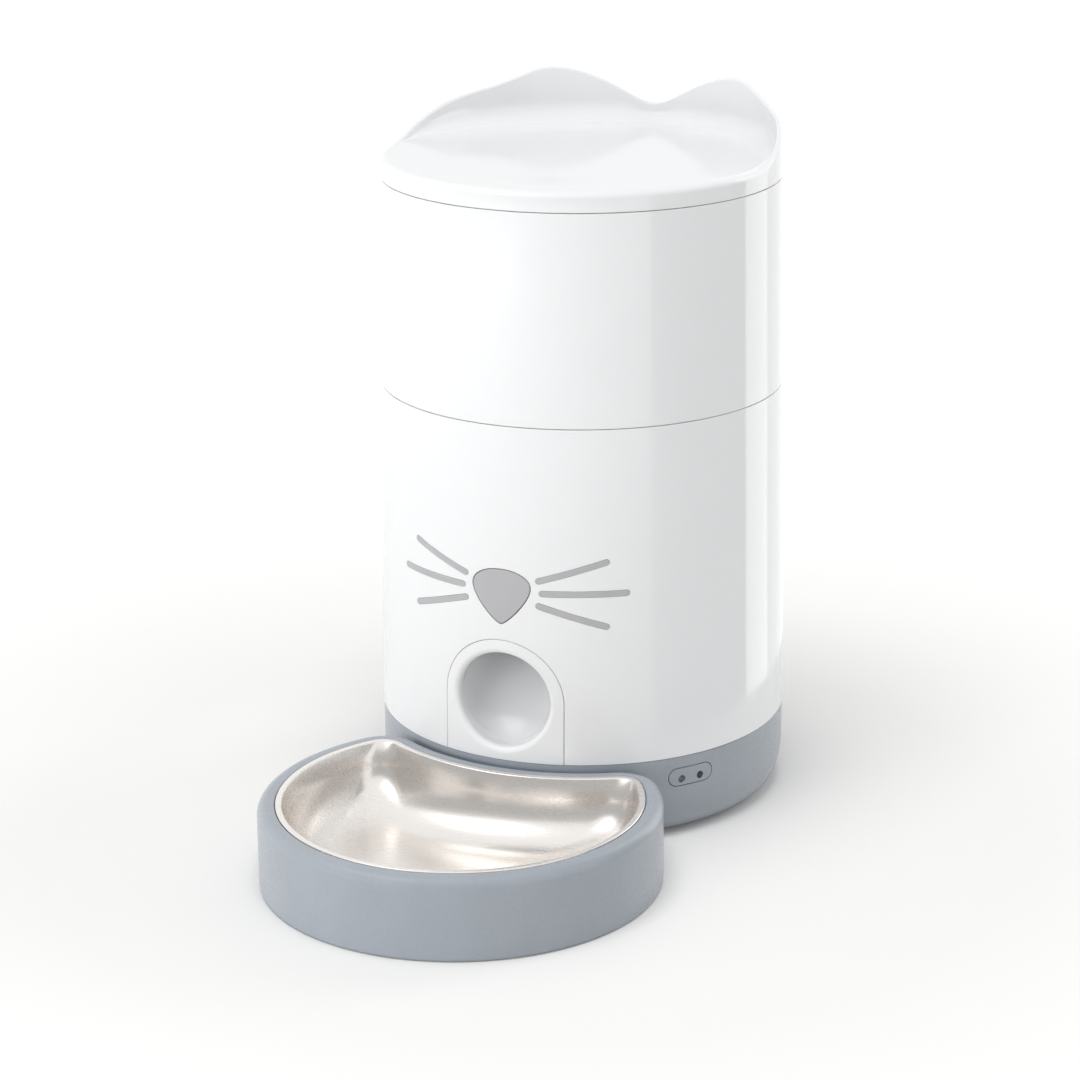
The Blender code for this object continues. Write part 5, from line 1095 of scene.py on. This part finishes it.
def polished_plastic(name, colour, roughness, cloud=35 * MM, smear=14 * MM, wave=48 * MM, depth=0.05 * MM):
    """Glossy moulded plastic: nearly even, with a faint waviness left by the mould."""
    finish = Finish(name, colour, roughness)
    finish.tint(finish.noise(cloud), shade(colour, 0.992), colour)
    finish.gloss(finish.noise(smear, 3.0), roughness * 0.85, roughness * 1.2)
    finish.bump(finish.noise(wave, 0.0), depth, 0.5)
    return finish


def satin_plastic(name, colour, roughness, cloud=20 * MM, grain=0.35 * MM, depth=0.006 * MM):
    """Plastic with a fine spark-eroded grain."""
    finish = Finish(name, colour, roughness)
    finish.tint(finish.noise(cloud, 3.0), shade(colour, 0.97), shade(colour, 1.02))
    speckle = finish.noise(grain, 2.0)
    finish.gloss(speckle, roughness * 0.92, roughness * 1.08)
    finish.bump(speckle, depth)
    return finish


def soft_rubber(name, colour, roughness, cloud=9 * MM, grain=0.6 * MM, depth=0.02 * MM):
    finish = Finish(name, colour, roughness)
    finish.tint(finish.noise(cloud, 3.0), shade(colour, 0.9), shade(colour, 1.06))
    finish.bump(finish.noise(grain, 3.0), depth)
    put(finish.shader, Specular_IOR_Level=0.35)
    return finish


def plain_metal(name, colour, roughness, lay, cloud=12 * MM, grain=0.5 * MM, depth=0.003 * MM):
    """Metal with fine marks along one direction."""
    finish = Finish(name, colour, roughness, 1.0)
    marks = finish.noise(grain, 3.0, lay)
    finish.tint(finish.noise(cloud), shade(colour, 0.94), colour)
    finish.gloss(marks, roughness * 0.75, roughness * 1.3)
    finish.bump(marks, depth)
    return finish


def bowl_metal(name, colour, cloud=60 * MM, grain=1.5 * MM, depth=0.0001 * MM):
    """Pressed steel, finely brushed along the bowl's width."""
    finish = Finish(name, colour, 0.28, 1.0)
    finish.tint(finish.noise(cloud, 1.0), shade(colour, 0.97), colour)
    marks = finish.noise(grain, 1.0, (0.05, 1.0, 1.0))
    finish.gloss(marks, 0.24, 0.28)
    finish.bump(marks, depth)
    return finish


def board_plastic(name, colour, spacing=6 * MM, depth=0.03 * MM):
    """Solder mask with the faint relief of tracks below it."""
    finish = Finish(name, colour, 0.3)
    tracks = finish.node("TexBrick", offset=0.5)
    put(tracks, Scale=1 / spacing, Color1=(*colour, 1.0), Color2=(0.035, 0.19, 0.1, 1.0),
        Mortar=(0.05, 0.26, 0.13, 1.0))
    finish.link(finish.place, tracks.inputs["Vector"])
    finish.link(tracks.outputs["Color"], finish.shader.inputs["Base Color"])
    finish.bump(tracks.outputs["Fac"], depth)
    return finish


def lens_plastic(name, colour, smear=1.5 * MM):
    finish = Finish(name, colour, 0.05)
    put(finish.shader, Transmission_Weight=0.85, IOR=1.49)
    finish.gloss(finish.noise(smear), 0.03, 0.08)
    return finish


FINISHES = {
    "white_gloss": polished_plastic("white_gloss_plastic", (0.83, 0.84, 0.85), 0.09),
    "base_grey": satin_plastic("base_grey_plastic", (0.335, 0.368, 0.407), 0.28),
    "face_grey": satin_plastic("face_grey_plastic", (0.45, 0.45, 0.465), 0.4),
    "inner_white": satin_plastic("inner_white_plastic", (0.68, 0.69, 0.70), 0.45),
    "dark_plastic": satin_plastic("dark_texture_plastic", (0.03, 0.03, 0.035), 0.4),
    "bowl_steel": bowl_metal("bowl_metal", (0.89, 0.855, 0.82)),
    "screw_steel": plain_metal("turned_steel", (0.6, 0.6, 0.61), 0.3, (1.0, 1.0, 0.1)),
    "contact_brass": plain_metal("sheet_brass", (0.75, 0.58, 0.3), 0.28, (1.0, 0.1, 1.0)),
    "silicone": soft_rubber("soft_silicone", (0.62, 0.63, 0.64), 0.55),
    "foot_rubber": soft_rubber("black_rubber", (0.045, 0.045, 0.05), 0.7),
    "gear_plastic": satin_plastic("natural_acetal", (0.8, 0.77, 0.68), 0.33),
    "circuit_board": board_plastic("board_green", (0.03, 0.16, 0.08)),
    "cell_jacket": polished_plastic("cell_sleeve", (0.07, 0.1, 0.13), 0.25),
    "clear_lens": lens_plastic("lens_clear", (0.5, 0.56, 0.56)),
}


def finish_frame_nodes():
    """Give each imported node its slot's material and soft shading."""
    slots = {}
    for name, node in frame["nodes"].items():
        slots[name] = node.data.materials[0].name
        node.data.materials[0] = FINISHES[slots[name]].material
        node.data.shade_smooth()
        node.data.set_sharp_from_angle(angle=SHARP_ANGLE)
    return slots


SLOTS = finish_frame_nodes()


def stand_in(piece, node):
    """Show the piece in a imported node's place, on the same body and in the same finish."""
    piece.data.materials.clear()
    piece.data.materials.append(FINISHES[SLOTS[node]].material)
    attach(piece, frame["nodes"][node]["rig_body"])
    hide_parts(node)


stand_in(make_lid_shell(), "lid_shell")
stand_in(make_container(), "food_container")
stand_in(make_body_shell(), "body_shell")
stand_in(make_nose(), "nose_button")
stand_in(make_whiskers("whisker_set_left", -1), "whiskers_left")
stand_in(make_whiskers("whisker_set_right", 1), "whiskers_right")
stand_in(make_chute(), "chute")
stand_in(make_base_shell(), "base_shell")
stand_in(make_status_panel(), "status_panel")
stand_in(make_lens("light_lens", -1), "status_light_lens")
stand_in(make_lens("sensor_lens", 1), "status_sensor_lens")
stand_in(make_tray(), "bowl_holder")
stand_in(make_steel_bowl(), "bowl_insert")


# Floor, lights and camera

M = 1.0
LOOK_AT = Vector((0.0, AXIS_Y, 0.15 * M))
WHITE = (1.0, 1.0, 1.0, 1.0)
ROOM_LIGHT = 0.5
FLOOR_WHITE = (0.86, 0.855, 0.845)
FLOOR_HALF = 30 * M
FLOOR_GLOW = (0.04, 0.75)  # near and far from the object, as it is seen
GLOW_FROM = 0.25 * M  # distances over which the floor, as it is seen, turns fully white
GLOW_TO = 1.5 * M
CARD_STEPS = 24
CARD_R = 0.25 * M
CARD_HEIGHT = 0.5 * M
FRONT_CARD_R = 2.2 * M
FRONT_CARD_HEIGHT = 1.8 * M
# Ends in degrees from the front, radius, height and glow
CARDS = (
    ("grey_card", 54.0, 110.0, CARD_R, CARD_HEIGHT, 0.35),
    ("bright_card", 110.0, 132.0, CARD_R, CARD_HEIGHT, 2.3),
    ("rear_card", 132.0, 180.0, CARD_R, CARD_HEIGHT, 1.3),
    ("front_card", -80.0, 45.0, FRONT_CARD_R, FRONT_CARD_HEIGHT, 0.5),
)
# Degrees from the front and upward, distance, width, depth and glow
HIGH_CARD = (-40.0, 52.0, 1.6 * M, 1.0 * M, 0.5 * M, 2.6)
# Degrees from the front, height, distance, width and height of the panel, and watts
LAMPS = (
    ("key", -38.0, 0.19 * M, 1.6 * M, 1.5 * M, 0.34 * M, 8.5),
    ("top", 0.0, 3.0 * M, 0.6 * M, 1.6 * M, 1.6 * M, 42.0),
    ("front", -15.0, 0.55 * M, 1.8 * M, 0.8 * M, 0.8 * M, 3.2),
    ("side", 85.0, 0.5 * M, 1.8 * M, 0.8 * M, 0.8 * M, 2.0),
    ("rim", 140.0, 1.0 * M, 2.4 * M, 0.9 * M, 2.0 * M, 12.0),
)
EYE = Vector((0.60015 * M, -1.34443 * M, 0.62150 * M))
TARGET = Vector((-0.02023 * M, 0.06430 * M, 0.12612 * M))
CAMERA_TILT = radians(-0.43)
LENS = 104.46  # in the camera's own millimetres
SENSOR = 36.0


def seen_directly(tree):
    """A factor that is 1 for the camera's, mirrored and refracted rays, and 0 for the light on surfaces."""
    path = tree.nodes.new("ShaderNodeLightPath")
    total = path.outputs["Is Camera Ray"]
    for name in ("Is Glossy Ray", "Is Transmission Ray"):
        most = tree.nodes.new("ShaderNodeMath")
        most.operation = "MAXIMUM"
        tree.links.new(total, most.inputs[0])
        tree.links.new(path.outputs[name], most.inputs[1])
        total = most.outputs[0]
    return total


def make_world():
    """White to the eye, and a plain grey level of light on surfaces."""
    world = bpy.data.worlds.new("white_room")
    world.use_nodes = True
    tree = world.node_tree
    background = tree.nodes["Background"]
    put(background, Color=WHITE)
    level = tree.nodes.new("ShaderNodeMapRange")
    put(level, To_Min=ROOM_LIGHT, To_Max=1.0)
    tree.links.new(seen_directly(tree), level.inputs["Value"])
    tree.links.new(level.outputs["Result"], background.inputs["Strength"])
    bpy.context.scene.world = world


def stage_mesh(name, corners, faces):
    mesh = bpy.data.meshes.new(name)
    mesh.from_pydata(corners, [], faces)
    piece = in_scene(name, mesh)
    return piece


def make_floor():
    half = FLOOR_HALF
    corners = [(-half, -half, 0.0), (half, -half, 0.0), (half, half, 0.0), (-half, half, 0.0)]
    floor = stage_mesh("floor", corners, [(0, 1, 2, 3)])
    finish = Finish("floor_white", FLOOR_WHITE, 0.9)
    put(finish.shader, Specular_IOR_Level=0.0, Emission_Color=WHITE)
    away = finish.node("VectorMath", operation="LENGTH")
    finish.link(finish.place, away.inputs[0])
    level = finish.node("MapRange")
    put(level, From_Min=GLOW_FROM, From_Max=GLOW_TO, To_Min=FLOOR_GLOW[0], To_Max=FLOOR_GLOW[1])
    finish.link(away.outputs["Value"], level.inputs["Value"])
    shown = finish.node("Math", operation="MULTIPLY")
    finish.link(level.outputs["Result"], shown.inputs[0])
    finish.link(seen_directly(finish.tree), shown.inputs[1])
    finish.link(shown.outputs["Value"], finish.shader.inputs["Emission Strength"])
    floor.data.materials.append(finish.material)


def light_up(card, level):
    """Give a stage card an even glow, which only glossy surfaces show."""
    finish = Finish(card.name, (0.0, 0.0, 0.0), 1.0)
    put(finish.shader, Specular_IOR_Level=0.0, Emission_Color=WHITE, Emission_Strength=level)
    card.data.materials.append(finish.material)
    card.visible_camera = False
    card.visible_diffuse = False
    card.visible_shadow = False


def make_card(name, near, far, radius, height, level):
    """An upright card between two directions from the front."""
    corners = []
    for z in (0.0, height):
        for step in range(CARD_STEPS + 1):
            angle = radians(near + (far - near) * step / CARD_STEPS)
            corners.append(around(radius, angle, z))
    after = CARD_STEPS + 1
    faces = [(step, step + 1, after + step + 1, after + step) for step in range(CARD_STEPS)]
    light_up(stage_mesh(name, corners, faces), level)


def make_high_card(azimuth, elevation, distance, width, depth, level):
    """A card above the object, square to the line from it."""
    turn, climb = radians(azimuth), radians(elevation)
    outward = Vector((sin(turn) * cos(climb), -cos(turn) * cos(climb), sin(climb)))
    side = Vector((cos(turn), sin(turn), 0.0)) * width / 2
    up = outward.cross(side).normalized() * depth / 2
    middle = LOOK_AT + outward * distance
    corners = [middle - side - up, middle + side - up, middle + side + up, middle - side + up]
    light_up(stage_mesh("high_card", corners, [(0, 1, 2, 3)]), level)


def add_lamp(name, azimuth, height, distance, width, tall, power):
    """A soft lamp, placed by its direction from the front and its height, turned towards the object."""
    lamp = bpy.data.lights.new(name, "AREA")
    lamp.energy = power
    lamp.shape = "RECTANGLE"
    lamp.size = width
    lamp.size_y = tall
    holder = in_scene(name, lamp)
    holder.location = around(distance, radians(azimuth), height)
    holder.rotation_euler = (LOOK_AT - holder.location).to_track_quat("-Z", "Y").to_euler()
    holder.visible_camera = False
    holder.visible_glossy = False


def make_camera():
    view = bpy.data.cameras.new("camera")
    view.sensor_width = SENSOR
    view.lens = LENS
    view.clip_end = 2 * FLOOR_HALF
    camera = in_scene("camera", view)
    turn = (TARGET - EYE).to_track_quat("-Z", "Y").to_matrix().to_4x4()
    camera.matrix_world = Matrix.Translation(EYE) @ turn @ Matrix.Rotation(CAMERA_TILT, 4, "Z")
    bpy.context.scene.camera = camera


make_world()
make_floor()
for card in CARDS:
    make_card(*card)
make_high_card(*HIGH_CARD)
for lamp in LAMPS:
    add_lamp(*lamp)
make_camera()
bpy.context.scene.view_settings.view_transform = "Standard"
